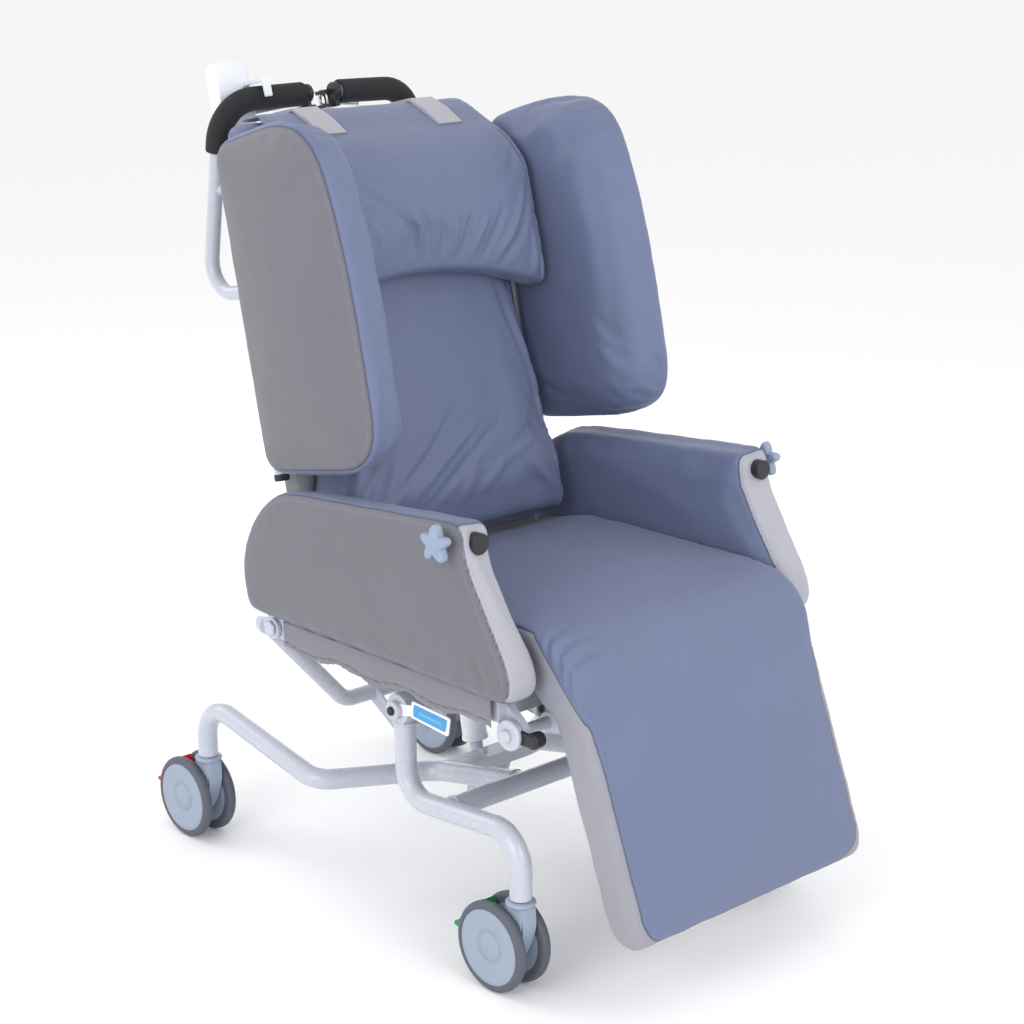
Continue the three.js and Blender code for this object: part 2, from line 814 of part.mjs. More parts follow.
function handsetBody() {
  const face = outline([
    [-24, -78, 14],
    [24, -78, 14],
    [32, 0, 30],
    [30, 78, 14],
    [-30, 78, 14],
    [-32, 0, 30],
  ]);
  const body = new THREE.ExtrudeGeometry(face, {
    depth: 20,
    curveSegments: 4,
    bevelThickness: 3,
    bevelSize: 3,
    bevelOffset: -3,
    bevelSegments: 2,
  })
    .rotateX(Math.PI / 2)
    .translate(0, 10, 0);
  const hook = slab(
    outline([
      [-8, 32],
      [-8, 44, 6],
      [-65, 44, 8],
      [-65, 16, 3],
      [-61, 16, 3],
      [-61, 39, 4],
      [-13, 39, 4],
      [-13, 32],
    ]),
    [14, 26],
    { curve: 2 },
  );
  const relief = bar([0, 0, -104], [0, 0, -76], 3.4, 10, 6.5);
  const pockets = KEYS.rows.flatMap((v) =>
    [-KEYS.x, KEYS.x].map((x) => bar([x, 9, v], [x, 20, v], KEYS.radius + GAP, 14)),
  );
  return cut(join(body, hook, relief), ...pockets);
}
piece("handset", handsetBody(), whitePlastic, handset);
KEYS.rows.forEach((v, row) => {
  [-KEYS.x, KEYS.x].forEach((x, column) => {
    const key = bar([x, 10.4, v], [x, 14.4, v], KEYS.radius, 14);
    piece(`handset_key_${row + 1}${column ? "b" : "a"}`, key, palePlastic, handset);
  });
});

// ---- handset cord, in three runs: lead, curly run, tail ------------------------------------
const CORD = 2.4; // radius of the plain cord
const CURL = 12; // outer radius of the curly run
const LEAD_END = [-125, 357, 900];
const CURL_END = [-36, 344, 446];
piece(
  "cord_lead",
  tube([[-127.4, 361, 979.4], [-127, 355, 945, 60], LEAD_END], CORD, { sides: 8, arcSteps: 4 }),
  whitePlastic,
);
piece(
  "cord_curl",
  tube(
    [
      [LEAD_END[0], LEAD_END[1], LEAD_END[2] - GAP],
      [-100, 354, 690, 400],
      [CURL_END[0], CURL_END[1], CURL_END[2] + GAP],
    ],
    CURL,
    { sides: 10, arcSteps: 8 },
  ),
  whitePlastic,
);
piece(
  "cord_tail",
  tube(
    [
      CURL_END,
      [-26, 342, 398, 22],
      [30, 330, 396, 22],
      [62, 262, 470, 40],
      [62, 196.2, 533.2],
    ],
    CORD,
    { sides: 8 },
  ),
  whitePlastic,
);

// ---- actuators ----------------------------------------------------------------------------
// Built along the line from the housing pin to the rod eye; s is the distance down that line.
function drive(name, { x, top, pin, eye, bore, tube: [from, to], rod, inward }) {
  const target = [pin[0] + eye[0], pin[1] + eye[1]];
  const length = Math.hypot(target[0] - top[0], target[1] - top[1]);
  const direction = [(target[0] - top[0]) / length, (target[1] - top[1]) / length];
  const at = (s, offset = 0) => [
    x,
    top[0] + s * direction[0] - offset * direction[1],
    top[1] + s * direction[1] + offset * direction[0],
  ];
  const body = outline([
    [...at(18, -24).slice(1), 8],
    [...at(18, 24).slice(1), 8],
    [...at(from + 4, 22).slice(1), 6],
    [...at(from + 4, -22).slice(1), 6],
  ]);
  const motor = at(from / 2);
  const housing = join(
    slab(disc(...at(0).slice(1), 11), [x - 15, x + 15], { curve: 6 }),
    slab(link([...at(0).slice(1), 9], [...at(24).slice(1), 9]), [x - 15, x + 15]),
    slab(body, [x - 28, x + 26], { curve: 3 }),
    bar([x - 20, motor[1], motor[2]], [x - 118, motor[1], motor[2]], 26, 18),
    bar(at(from - 10), at(to), 18.5, 16),
  );
  const clear = [
    bar([x - 20, ...top], [x + 20, ...top], DRIVE_PIN + 0.4, 12),
    bar(at(rod - inward), at(to + 5), DRIVE_ROD + 0.6, 14),
  ];
  piece(`${name}_drive_housing`, cut(housing, ...clear), whitePlastic);
  const eyeBody = join(
    bar(at(rod), at(length - bore - 1), DRIVE_ROD, 12),
    slab(disc(...target, bore + EYE.wall), [x - EYE.half, x + EYE.half], { curve: 8 }),
  );
  const eyeBore = bar([x - 14, ...target], [x + 14, ...target], bore, 14);
  piece(`${name}_drive_rod`, cut(eyeBody, eyeBore), chrome);
}
drive("recline", RECLINE_DRIVE);
drive("tilt", TILT_DRIVE);
drive("legrest", LEG_DRIVE);

export default object;
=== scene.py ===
"""Looks of the mobile pressure-care chair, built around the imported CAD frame.

Lengths in the builders below are millimetres in the chair's own directions and become metres in
the row frame when a piece is finished: +Z up, the chair faces -Y, +X is the occupant's left.
"""

import bpy
import bmesh
import math
from mathutils import Matrix, Vector, noise
from mathutils.geometry import intersect_point_line


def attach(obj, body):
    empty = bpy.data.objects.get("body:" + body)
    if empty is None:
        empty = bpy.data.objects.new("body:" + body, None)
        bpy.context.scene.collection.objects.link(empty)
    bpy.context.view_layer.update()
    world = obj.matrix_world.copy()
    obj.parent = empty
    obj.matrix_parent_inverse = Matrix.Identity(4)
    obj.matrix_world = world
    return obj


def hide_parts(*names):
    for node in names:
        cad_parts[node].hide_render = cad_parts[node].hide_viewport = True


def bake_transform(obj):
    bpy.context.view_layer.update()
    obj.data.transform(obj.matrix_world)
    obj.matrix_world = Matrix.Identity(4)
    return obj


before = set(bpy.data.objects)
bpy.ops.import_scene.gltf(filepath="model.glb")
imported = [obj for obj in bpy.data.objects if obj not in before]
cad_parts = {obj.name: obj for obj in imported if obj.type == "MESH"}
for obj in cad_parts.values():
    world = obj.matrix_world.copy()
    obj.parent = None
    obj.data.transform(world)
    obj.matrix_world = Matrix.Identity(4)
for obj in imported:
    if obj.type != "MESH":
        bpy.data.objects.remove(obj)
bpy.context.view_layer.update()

# ---- places ---------------------------------------------------------------------------------
MM = 0.001
SHIFT = 43.7  # the chair's own origin lies this far along Y in the row frame
BACK_ANGLE = math.radians(13)
LEG_ANGLE = math.radians(21)
SIDES = (("left", 1), ("right", -1))
CHAIR = Matrix.Scale(MM, 4) @ Matrix.Translation((0, SHIFT, 0))
BACK = CHAIR @ Matrix.Translation((0, 163, 500)) @ Matrix.Rotation(-BACK_ANGLE, 4, "X")
LEG = CHAIR @ Matrix.Translation((0, -335, 362)) @ Matrix.Rotation(-LEG_ANGLE, 4, "X")
HANDSET = BACK @ Matrix.Translation((-131, 85, 617)) @ Matrix.Rotation(-math.radians(2), 4, "Y")
TILT = (-103, 331)
RECLINE = (149, 389)


# ---- camera and light -----------------------------------------------------------------------
def placed(name, data):
    """A new object with this data, put in the scene."""
    thing = bpy.data.objects.new(name, data)
    bpy.context.collection.objects.link(thing)
    return thing


def aim(thing, target):
    direction = Vector(target) - thing.location
    thing.rotation_euler = direction.to_track_quat("-Z", "Y").to_euler()


CAMERA_PLACE = (-2.089, -2.248, 1.409)
CAMERA_TARGET = (0.0, -0.02, 0.552)
CAMERA_LENS = 79
camera = placed("camera", bpy.data.cameras.new("camera"))
camera.location = CAMERA_PLACE
camera.data.lens = CAMERA_LENS
aim(camera, CAMERA_TARGET)
bpy.context.scene.camera = camera


def area_light(name, location, target, size, watts, colour=(1, 1, 1)):
    data = bpy.data.lights.new(name, "AREA")
    data.shape = "DISK"
    data.size = size
    data.energy = watts
    data.color = colour
    light = placed(name, data)
    light.location = location
    aim(light, target)


area_light("key_light", (-0.3, -3.6, 2.2), (0, 0, 0.6), 1.8, 38)
area_light("side_light", (-3.6, -0.9, 1.7), (0, 0, 0.7), 2.2, 44)
area_light("fill_light", (3.0, -1.6, 2.0), (0, 0, 0.6), 2.4, 12, (0.96, 0.98, 1))
area_light("back_light", (-1.6, 3.0, 2.6), (0, 0, 0.6), 2.4, 30)
area_light("low_light", (1.6, 2.6, 0.7), (0, 0, 0.3), 1.6, 8)


# ---- materials ------------------------------------------------------------------------------
def linear(red, green, blue):
    """A colour given as eight-bit sRGB, in the shader's linear values."""
    out = []
    for value in (red, green, blue):
        part = value / 255
        out.append(part / 12.92 if part <= 0.04045 else ((part + 0.055) / 1.055) ** 2.4)
    return (*out, 1)


class Shader:
    """A node material with one Principled shader, and short ways to add nodes to it."""

    def __init__(self, name, rough, metal=0.0, coat=0.0, sheen=0.0):
        self.material = bpy.data.materials.new(name)
        self.material.use_nodes = True
        self.tree = self.material.node_tree
        self.main = self.tree.nodes["Principled BSDF"]
        self.main.inputs["Roughness"].default_value = rough
        self.main.inputs["Metallic"].default_value = metal
        self.main.inputs["Coat Weight"].default_value = coat
        self.main.inputs["Coat Roughness"].default_value = 0.2
        self.main.inputs["Sheen Weight"].default_value = sheen
        self.main.inputs["Sheen Roughness"].default_value = 0.5
        self.normal = None

    def add(self, kind, inputs=None, **settings):
        node = self.tree.nodes.new(kind)
        for key, value in settings.items():
            setattr(node, key, value)
        for key, value in (inputs or {}).items():
            if isinstance(value, bpy.types.NodeSocket):
                self.tree.links.new(value, node.inputs[key])
            else:
                node.inputs[key].default_value = value
        return node

    def link(self, source, target):
        self.tree.links.new(source, self.main.inputs[target])

    def math(self, operation, first, second=0.0, clamp=False):
        node = self.add("ShaderNodeMath", {0: first, 1: second}, operation=operation)
        node.use_clamp = clamp
        return node.outputs[0]

    def attribute(self, name):
        return self.add("ShaderNodeAttribute", attribute_name=name).outputs

    def coordinates(self):
        return self.add("ShaderNodeTexCoord").outputs["Object"]

    def noise(self, place, scale, detail=3.0, rough=0.5):
        inputs = {"Vector": place, "Scale": scale, "Detail": detail, "Roughness": rough}
        return self.add("ShaderNodeTexNoise", inputs).outputs["Fac"]

    def cells(self, place, scale):
        return self.add("ShaderNodeTexVoronoi", {"Vector": place, "Scale": scale}).outputs[0]

    def spread(self, value, low, high, start=0.3, end=0.7):
        inputs = {"Value": value, 1: start, 2: end, 3: low, 4: high}
        return self.add("ShaderNodeMapRange", inputs).outputs[0]

    def blend(self, factor, first, second):
        node = self.add("ShaderNodeMix", data_type="RGBA")
        for socket, value in ((0, factor), (6, first), (7, second)):
            if isinstance(value, bpy.types.NodeSocket):
                self.tree.links.new(value, node.inputs[socket])
            else:
                node.inputs[socket].default_value = value
        return node.outputs[2]

    def bump(self, height, distance, strength=1.0, invert=False):
        inputs = {"Height": height, "Distance": distance, "Strength": strength}
        if self.normal is not None:
            inputs["Normal"] = self.normal
        self.normal = self.add("ShaderNodeBump", inputs, invert=invert).outputs[0]
        self.link(self.normal, "Normal")


def shade(colour, amount):
    return (*[min(1, channel * amount) for channel in colour[:3]], 1)


def mottled(shader, place, colour, amount, scale, rough, spread):
    """A colour and a roughness that wander a little over the surface."""
    cloud = shader.noise(place, scale, 4)
    fine = shader.noise(place, scale * 14, 2)
    both = shader.math(
        "ADD", shader.math("MULTIPLY", cloud, 0.7), shader.math("MULTIPLY", fine, 0.3),
    )
    shader.link(shader.spread(both, rough - spread, rough + spread), "Roughness")
    return shader.blend(
        shader.spread(both, 0, 1), shade(colour, 1 - amount), shade(colour, 1 + amount)
    )


STITCH_PITCH = 0.0052
STITCH_FROM_SEAM = 4.6


def coated_cloth(name, first, second=None, rough=0.5, third=None):
    """Coated stretch cloth with fine grain, sewn seams with painted shade along them, and a second
    colour past the tone seam.

    The soft pieces carry four attributes: rest is the place before bending, tone the distance
    past the seam between the colours, line the distance to the nearest other seam, both in mm,
    and pale, from 0 to 1, says where the second colour gives way to the third.
    """
    shader = Shader(name, rough, sheen=0.12)
    shader.main.inputs["Specular IOR Level"].default_value = 0.42
    place = shader.attribute("rest")["Vector"]
    colour = mottled(shader, place, first, 0.045, 9, rough, 0.05)
    if second:
        tone = shader.attribute("tone")["Fac"]
        other = mottled(shader, place, second, 0.04, 9, rough + 0.06, 0.05)
        if third:
            paler = mottled(shader, place, third, 0.03, 9, rough + 0.06, 0.05)
            other = shader.blend(shader.attribute("pale")["Fac"], other, paler)
        past = shader.spread(tone, 0, 1, -0.35, 0.35)
        colour = shader.blend(past, colour, other)
        near = shader.math("ABSOLUTE", tone)
    else:
        near = shader.math("ADD", shader.attribute("line")["Fac"], 0)
    seam = shader.math("MINIMUM", near, shader.attribute("line")["Fac"])
    # painted shade: the colour goes darker along each seam, standing in for the shade that falls in
    # its groove
    groove = shader.spread(seam, 1, 0, 0.2, 1.5)
    colour = shader.blend(shader.math("MULTIPLY", groove, 0.55), colour, shade(first, 0.35))
    # top stitching: short dashes that run beside the seam
    beside = shader.spread(
        shader.math("ABSOLUTE", shader.math("SUBTRACT", seam, STITCH_FROM_SEAM)), 1, 0, 0.3, 0.8,
    )
    parts = shader.add("ShaderNodeSeparateXYZ", {0: place}).outputs
    along = shader.math("ADD", shader.math("ADD", parts[0], parts[1]), parts[2])
    wave = shader.math("SINE", shader.math("MULTIPLY", along, 2 * math.pi / STITCH_PITCH))
    dash = shader.math("MULTIPLY", beside, shader.spread(wave, 0, 1, -0.5, 0.1))
    colour = shader.blend(shader.math("MULTIPLY", dash, 0.35), colour, shade(first, 1.5))
    shader.link(colour, "Base Color")
    shader.bump(shader.noise(place, 26, 3), 0.0022, 0.35)
    shader.bump(shader.cells(place, 1500), 0.00025, 0.5)
    shader.bump(groove, 0.0016, 0.9, invert=True)
    shader.bump(dash, 0.0004, 0.6)
    return shader.material


def moulded(name, colour, rough=0.4, grain=900, height=0.00012, amount=0.04, **extra):
    """Moulded plastic, rubber or paint: slight mottling, fine grain, wandering roughness."""
    shader = Shader(name, rough, **extra)
    place = shader.coordinates()
    shader.link(mottled(shader, place, colour, amount, 22, rough, 0.06), "Base Color")
    shader.bump(shader.noise(place, grain, 2), height, 0.5)
    shader.bump(shader.noise(place, 45, 3), 0.0004, 0.25)
    return shader.material


def brushed(name, colour, rough, along=(1, 1, 40)):
    """Bright metal with fine streaks across the given direction."""
    shader = Shader(name, rough, metal=1.0)
    stretched = shader.add("ShaderNodeMapping", {0: shader.coordinates()})
    stretched.inputs["Scale"].default_value = along
    streaks = shader.noise(stretched.outputs[0], 60, 5, 0.7)
    shader.link(shader.spread(streaks, rough - 0.06, rough + 0.1), "Roughness")
    shader.link(shader.blend(streaks, shade(colour, 0.85), shade(colour, 1.1)), "Base Color")
    shader.bump(streaks, 0.00008, 0.4)
    return shader.material


def foam_rubber(name, colour):
    """Closed-cell foam with a skin of small pores and scuffs."""
    shader = Shader(name, 0.8)
    place = shader.coordinates()
    shader.link(mottled(shader, place, colour, 0.25, 40, 0.8, 0.08), "Base Color")
    shader.bump(shader.cells(place, 700), 0.0006, 0.6)
    shader.bump(shader.noise(place, 120, 3), 0.0005, 0.5)
    return shader.material


BLUE = linear(99, 109, 140)
GREY = linear(104, 103, 111)
PALE_GREY = linear(164, 164, 174)
COVER_GREY = linear(122, 121, 129)
cloth = coated_cloth("cloth_two_tone", BLUE, GREY, third=PALE_GREY)
cloth_blue = coated_cloth("cloth_blue", BLUE)
cloth_rear = coated_cloth("cloth_rear", BLUE, COVER_GREY, rough=0.6)
cloth_grey = coated_cloth("cloth_grey", COVER_GREY, rough=0.6)
cloth_pale = coated_cloth("cloth_pale", linear(166, 164, 172), rough=0.6)
white_paint = moulded(
    "white_powder_coat", linear(184, 188, 200), 0.28, 1400, 0.0001, 0.02, coat=0.3,
)
white_plastic = moulded("white_plastic", linear(226, 229, 238), 0.36, 1100)
pale_plastic = moulded("pale_plastic", linear(148, 161, 180), 0.42, 1000)
disc_plastic = moulded("disc_plastic", linear(146, 158, 175), 0.45, 1000)
knob_plastic = moulded("knob_plastic", linear(137, 152, 176), 0.45, 900)
tyre_rubber = moulded("tyre_rubber", linear(84, 87, 98), 0.62, 1200, 0.0002, 0.1)
black_plastic = moulded("black_plastic", linear(28, 29, 33), 0.42, 900)
case_plastic = moulded("case_plastic", linear(30, 40, 46), 0.4, 700, 0.0002)
red_plastic = moulded("red_plastic", linear(205, 22, 24), 0.38, 900)
green_plastic = moulded("green_plastic", linear(10, 140, 72), 0.4, 900)
stripe_blue = moulded("stripe_blue", linear(22, 54, 124), 0.35, 1200)
label_blue = moulded("label_blue", linear(110, 172, 216), 0.5, 1500)
tag_blue = moulded("tag_blue", linear(64, 150, 205), 0.45, 1500)
yellow_plastic = moulded("yellow_plastic", linear(196, 168, 70), 0.5, 900)
plate_silver = moulded("plate_silver", linear(186, 190, 200), 0.4, 1500)
foam = foam_rubber("foam", linear(26, 27, 31))
velcro = foam_rubber("velcro", linear(18, 18, 20))
chrome = brushed("chrome", linear(215, 216, 222), 0.16)
steel = brushed("steel", linear(178, 179, 186), 0.34)
floor_paint = moulded("floor", linear(251, 251, 252), 0.8, 60, 0.0002, 0.01)
PLAIN_PLASTICS = (white_plastic, stripe_blue, label_blue, tag_blue, yellow_plastic, plate_silver)
SLOT_OF = {material: "white_plastic" for material in PLAIN_PLASTICS}
SLOT_OF.update({white_paint: "white_steel", steel: "chrome", chrome: "chrome"})
SLOT_OF.update({pale_plastic: "caster_plastic", disc_plastic: "wheel_tread"})
SLOT_OF.update({black_plastic: "black_plastic", case_plastic: "black_plastic"})
SLOT_OF.update({knob_plastic: "knob_plastic", red_plastic: "red_plastic"})
SLOT_OF.update({green_plastic: "green_plastic", foam: "foam", velcro: "foam"})
SLOT_OF.update({cloth_pale: "grey_vinyl", cloth_grey: "grey_vinyl"})


# ---- shapes ---------------------------------------------------------------------------------
def unit(value):
    """The value kept from 0 to 1."""
    return max(0, min(1, value))


def ease(t):
    """A smooth step from 0 to 1."""
    return t * t * (3 - 2 * t)


def turns(count):
    """(cosine, sine) at count even steps of a whole turn."""
    angles = [2 * math.pi * i / count for i in range(count)]
    return [(math.cos(angle), math.sin(angle)) for angle in angles]


def arc(centre, radius, degrees):
    """Points of a circle round centre, at each of the angles."""
    a, b = centre
    angles = [math.radians(angle) for angle in degrees]
    return [(a + radius * math.cos(angle), b + radius * math.sin(angle)) for angle in angles]


def spokes(axis):
    """The axis at length 1, and two directions square to it and to each other."""
    along = Vector(axis).normalized()
    across = along.orthogonal().normalized()
    return along, across, along.cross(across)


def mirrored(side, a, b):
    """The span from a to b on the given side, low end first."""
    return sorted((side * a, side * b))


def pane(x0, x1, low, high, radius):
    """A rectangle with rounded corners."""
    return rounded([(x0, low, radius), (x1, low, radius), (x1, high, radius), (x0, high, radius)])


def rounded(corners, steps=4):
    """An outline through corners (a, b, radius), as a list of (a, b)."""
    points = []
    count = len(corners)
    for i, corner in enumerate(corners):
        here = Vector(corner[:2])
        radius = corner[2] if len(corner) > 2 else 0
        if not radius:
            points.append(tuple(here))
            continue
        before = Vector(corners[i - 1][:2]) - here
        after = Vector(corners[(i + 1) % count][:2]) - here
        start = before.normalized() * min(radius, 0.47 * before.length)
        end = after.normalized() * min(radius, 0.47 * after.length)
        for step in range(steps + 1):
            t = step / steps
            points.append(tuple(here + start * (1 - t) ** 2 + end * t**2))
    return points


def round_about(first, second, count=8):
    """The outline round two circles (a, b, radius)."""
    turn = math.atan2(second[1] - first[1], second[0] - first[0])
    points = []
    for (a, b, radius), start in ((first, turn + math.pi / 2), (second, turn - math.pi / 2)):
        for i in range(count + 1):
            angle = start + math.pi * i / count
            points.append((a + radius * math.cos(angle), b + radius * math.sin(angle)))
    return points


def route(corners, steps=8):
    """(points, tangents) along straight runs whose corners (x, y, z, radius) are arcs."""
    line = [Vector(corner[:3]) for corner in corners]
    points = []
    tangents = []
    for i, here in enumerate(line):
        into = (here - line[max(i - 1, 0)]).normalized()
        out = (line[min(i + 1, len(line) - 1)] - here).normalized()
        if i in (0, len(line) - 1):
            points.append(here)
            tangents.append(out if i == 0 else into)
            continue
        turn = into.angle(out)
        radius = corners[i][3]
        start = here - into * radius * math.tan(turn / 2)
        side = (out - into * out.dot(into)).normalized()
        for step in range(steps + 1):
            t = turn * step / steps
            points.append(start + into * radius * math.sin(t) + side * radius * (1 - math.cos(t)))
            tangents.append(into * math.cos(t) + side * math.sin(t))
    return points, tangents


def spaced(points, gap):
    """Points every gap or so along a line, with the direction at each."""
    lengths = [0]
    for a, b in zip(points, points[1:]):
        lengths.append(lengths[-1] + (b - a).length)
    count = max(2, round(lengths[-1] / gap))
    out = []
    i = 0
    for step in range(count + 1):
        s = lengths[-1] * step / count
        while i < len(points) - 2 and lengths[i + 1] < s:
            i += 1
        t = (s - lengths[i]) / (lengths[i + 1] - lengths[i])
        out.append(points[i].lerp(points[i + 1], t))
    return out


class Form:
    """One rigid piece, put together from closed shapes."""

    def __init__(self, name, body, place=CHAIR):
        self.name = name
        self.body = body
        self.place = place
        self.mesh = bmesh.new()
        self.materials = []
        self.index = 0

    def use(self, material):
        if material not in self.materials:
            self.materials.append(material)
        self.index = self.materials.index(material)
        return self

    def skin(self, rings, closed=False):
        """Rings of points joined in order; the ends are closed by faces unless closed."""
        made = [[self.mesh.verts.new(self.place @ Vector(point)) for point in r] for r in rings]
        pairs = list(zip(made, made[1:]))
        if closed:
            pairs.append((made[-1], made[0]))
        for first, second in pairs:
            for i in range(len(first)):
                j = (i + 1) % len(first)
                face = (first[i], first[j], second[j], second[i])
                self.mesh.faces.new(face).material_index = self.index
        if not closed:
            for ring in (made[0], made[-1]):
                if len(ring) > 2:
                    self.mesh.faces.new(ring).material_index = self.index
        return self

    def tube(self, corners, radius, sides=24, steps=8, hollow=0):
        points, tangents = route(corners, steps)
        across = tangents[0].orthogonal().normalized()
        rings = []
        holes = []
        for point, tangent in zip(points, tangents):
            across = (across - tangent * across.dot(tangent)).normalized()
            other = tangent.cross(across)
            spoke = [across * a + other * b for a, b in turns(sides)]
            rings.append([point + out * radius for out in spoke])
            holes.append([point + out * hollow for out in spoke])
        if hollow:
            return self.skin(rings + holes[::-1], closed=True)
        return self.skin(rings)

    def turned(self, profile, start, axis, sides=32):
        """A turned shape: profile is (distance along axis, radius, optional material)."""
        along, across, other = spokes(axis)
        made = []
        for entry in profile:
            centre = Vector(start) + along * entry[0]
            row = [centre + (across * a + other * b) * entry[1] for a, b in turns(sides)]
            made.append([self.mesh.verts.new(self.place @ point) for point in row])
        for number, (first, second) in enumerate(zip(made, made[1:])):
            if len(profile[number]) > 2:
                self.use(profile[number][2])
            for i in range(sides):
                j = (i + 1) % sides
                face = self.mesh.faces.new((first[i], first[j], second[j], second[i]))
                face.material_index = self.index
        for row in (made[0], made[-1]):
            self.mesh.faces.new(row).material_index = self.index
        return self

    def bar(self, start, end, radius, end_radius=None, soft=0, sides=24):
        """A round bar, its ends softened by a small radius."""
        length = (Vector(end) - Vector(start)).length
        last = radius if end_radius is None else end_radius
        profile = [(0, radius), (length, last)]
        if soft:
            steps = (0, 30, 60, 90)
            first = [(2 * soft - a, b) for a, b in arc((soft, radius - soft), soft, steps)]
            profile = first + arc((length - soft, last - soft), soft, steps[::-1])
        axis = Vector(end) - Vector(start)
        return self.turned(profile, start, axis, sides)

    def slab(self, outline, x0, x1):
        """An outline in the Y-Z plane thickened along X."""
        return self.skin([[(x, a, b) for a, b in outline] for x in (x0, x1)])

    def board(self, outline, y0, y1):
        """An outline in the X-Z plane thickened along Y."""
        return self.skin([[(a, y, b) for a, b in outline] for y in (y0, y1)])

    def block(self, xs, ys, zs):
        corners = [(ys[0], zs[0]), (ys[1], zs[0]), (ys[1], zs[1]), (ys[0], zs[1])]
        return self.slab(corners, *xs)

    def screw(self, place, axis, radius=4.0, height=2.2, material=None):
        """A pan-head screw with a hexagon recess."""
        if material:
            self.use(material)
        shares = ((0, 1), (0.5, 0.96), (0.85, 0.75), (1, 0.45))
        profile = [(-1, radius * 0.9)] + [(height * up, radius * out) for up, out in shares]
        self.turned(profile, place, axis, 16)
        recess = [(height - 0.2, radius * 0.42), (height + 0.05, radius * 0.4)]
        return self.use(black_plastic).turned(recess, place, axis, 6)

    def finish(self, bevel=0.8, replaces=(), slot=None, angle=38):
        mesh = bpy.data.meshes.new(self.name)
        bmesh.ops.recalc_face_normals(self.mesh, faces=self.mesh.faces)
        for face in self.mesh.faces:
            face.smooth = True
        self.mesh.to_mesh(mesh)
        self.mesh.free()
        mesh.set_sharp_from_angle(angle=math.radians(angle))
        for material in self.materials:
            mesh.materials.append(material)
        piece = placed(self.name, mesh)
        if bevel:
            modifier = piece.modifiers.new("edges", "BEVEL")
            modifier.width = bevel * MM
            modifier.segments = 2
            modifier.limit_method = "ANGLE"
            modifier.angle_limit = math.radians(angle)
            modifier.harden_normals = True
        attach(piece, self.body)
        if replaces:
            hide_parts(*replaces)
        return piece


# ---- handset cord ---------------------------------------------------------------------------
CORD = 4.8
CURL_RADIUS = 9.6
CURL_TURNS = 68
LEAD = [(-127.4, 361, 979.4), (-127, 355, 945, 60), (-125, 357, 900)]
CURL = [(-125, 357, 900), (-100, 354, 690, 400), (-36, 344, 446)]
TAIL = [
    (-36, 344, 446), (-26, 342, 398, 22), (30, 330, 396, 22), (62, 262, 470, 40),
    (62, 196.2, 533.2),
]


def cord_line():
    """Lead, curly run and tail as one line of points."""
    run = spaced(route(CURL, 24)[0], 4)
    per_turn = 14
    count = CURL_TURNS * per_turn
    curl = []
    for i in range(count + 1):
        s = i / count
        place = s * (len(run) - 1)
        low = min(int(place), len(run) - 2)
        centre = run[low].lerp(run[low + 1], place - low)
        along = (run[low + 1] - run[low]).normalized()
        first = along.cross(Vector((0, 1, 0))).normalized()
        second = along.cross(first)
        grow = min(1, s * CURL_TURNS / 1.5, (1 - s) * CURL_TURNS / 1.5)
        radius = CURL_RADIUS * ease(grow)
        turn = 2 * math.pi * i / per_turn
        curl.append(centre + (first * math.cos(turn) + second * math.sin(turn)) * radius)
    lead = spaced(route(LEAD, 8)[0], 6)
    tail = spaced(route(TAIL, 8)[0], 6)
    return [CHAIR @ point for point in lead[:-1] + curl + tail[1:]]


def make_cord():
    line = cord_line()
    data = bpy.data.curves.new("handset_cord", "CURVE")
    data.dimensions = "3D"
    data.bevel_depth = CORD * MM / 2
    data.bevel_resolution = 2
    data.use_fill_caps = True
    spline = data.splines.new("POLY")
    spline.points.add(len(line) - 1)
    for point, place in zip(spline.points, line):
        point.co = (*place, 1)
    data.materials.append(white_plastic)
    piece = placed("handset_cord", data)
    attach(piece, "back")
    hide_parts("cord_lead", "cord_curl", "cord_tail")


make_cord()


# ---- soft pieces ----------------------------------------------------------------------------
def applied(piece):
    """The piece's mesh with its modifiers, and the modifiers gone."""
    depsgraph = bpy.context.evaluated_depsgraph_get()
    mesh = bpy.data.meshes.new_from_object(piece.evaluated_get(depsgraph))
    piece.modifiers.clear()
    piece.data = mesh
    return piece


def relaxed(piece, iterations):
    """Adds a smoothing step, still to be applied."""
    relax = piece.modifiers.new("relax", "SMOOTH")
    relax.factor = 0.5
    relax.iterations = iterations


def block_of(outline, x0, x1, edge, place):
    """A closed mesh from an outline thickened along X, its side edges bevelled by edge."""
    mesh = bmesh.new()
    ends = []
    for x in (x0, x1):
        ends.append([mesh.verts.new((x, a, b)) for a, b in outline])
    faces = [mesh.faces.new(ends[0]), mesh.faces.new(ends[1])]
    rims = [e for face in faces for e in face.edges]
    for i in range(len(outline)):
        j = (i + 1) % len(outline)
        mesh.faces.new((ends[0][i], ends[0][j], ends[1][j], ends[1][i]))
    bmesh.ops.recalc_face_normals(mesh, faces=mesh.faces)
    bmesh.ops.bevel(
        mesh, geom=rims, offset=edge, segments=4, profile=0.5, affect="EDGES", clamp_overlap=True
    )
    bmesh.ops.transform(mesh, matrix=place, verts=mesh.verts)
    out = bpy.data.meshes.new("block")
    mesh.to_mesh(out)
    mesh.free()
    return out


FAR = 99  # a distance, in mm, at which no seam shows
FOLD_REACH = 36  # a fold acts only on the surface this near its line, in mm
STRETCH_STIFFNESS = 12
BEND_STIFFNESS = 0.6
SEAM_HALF = 3  # the surface dips this far to either side of a seam, in mm
SEAM_DIP = 0.28


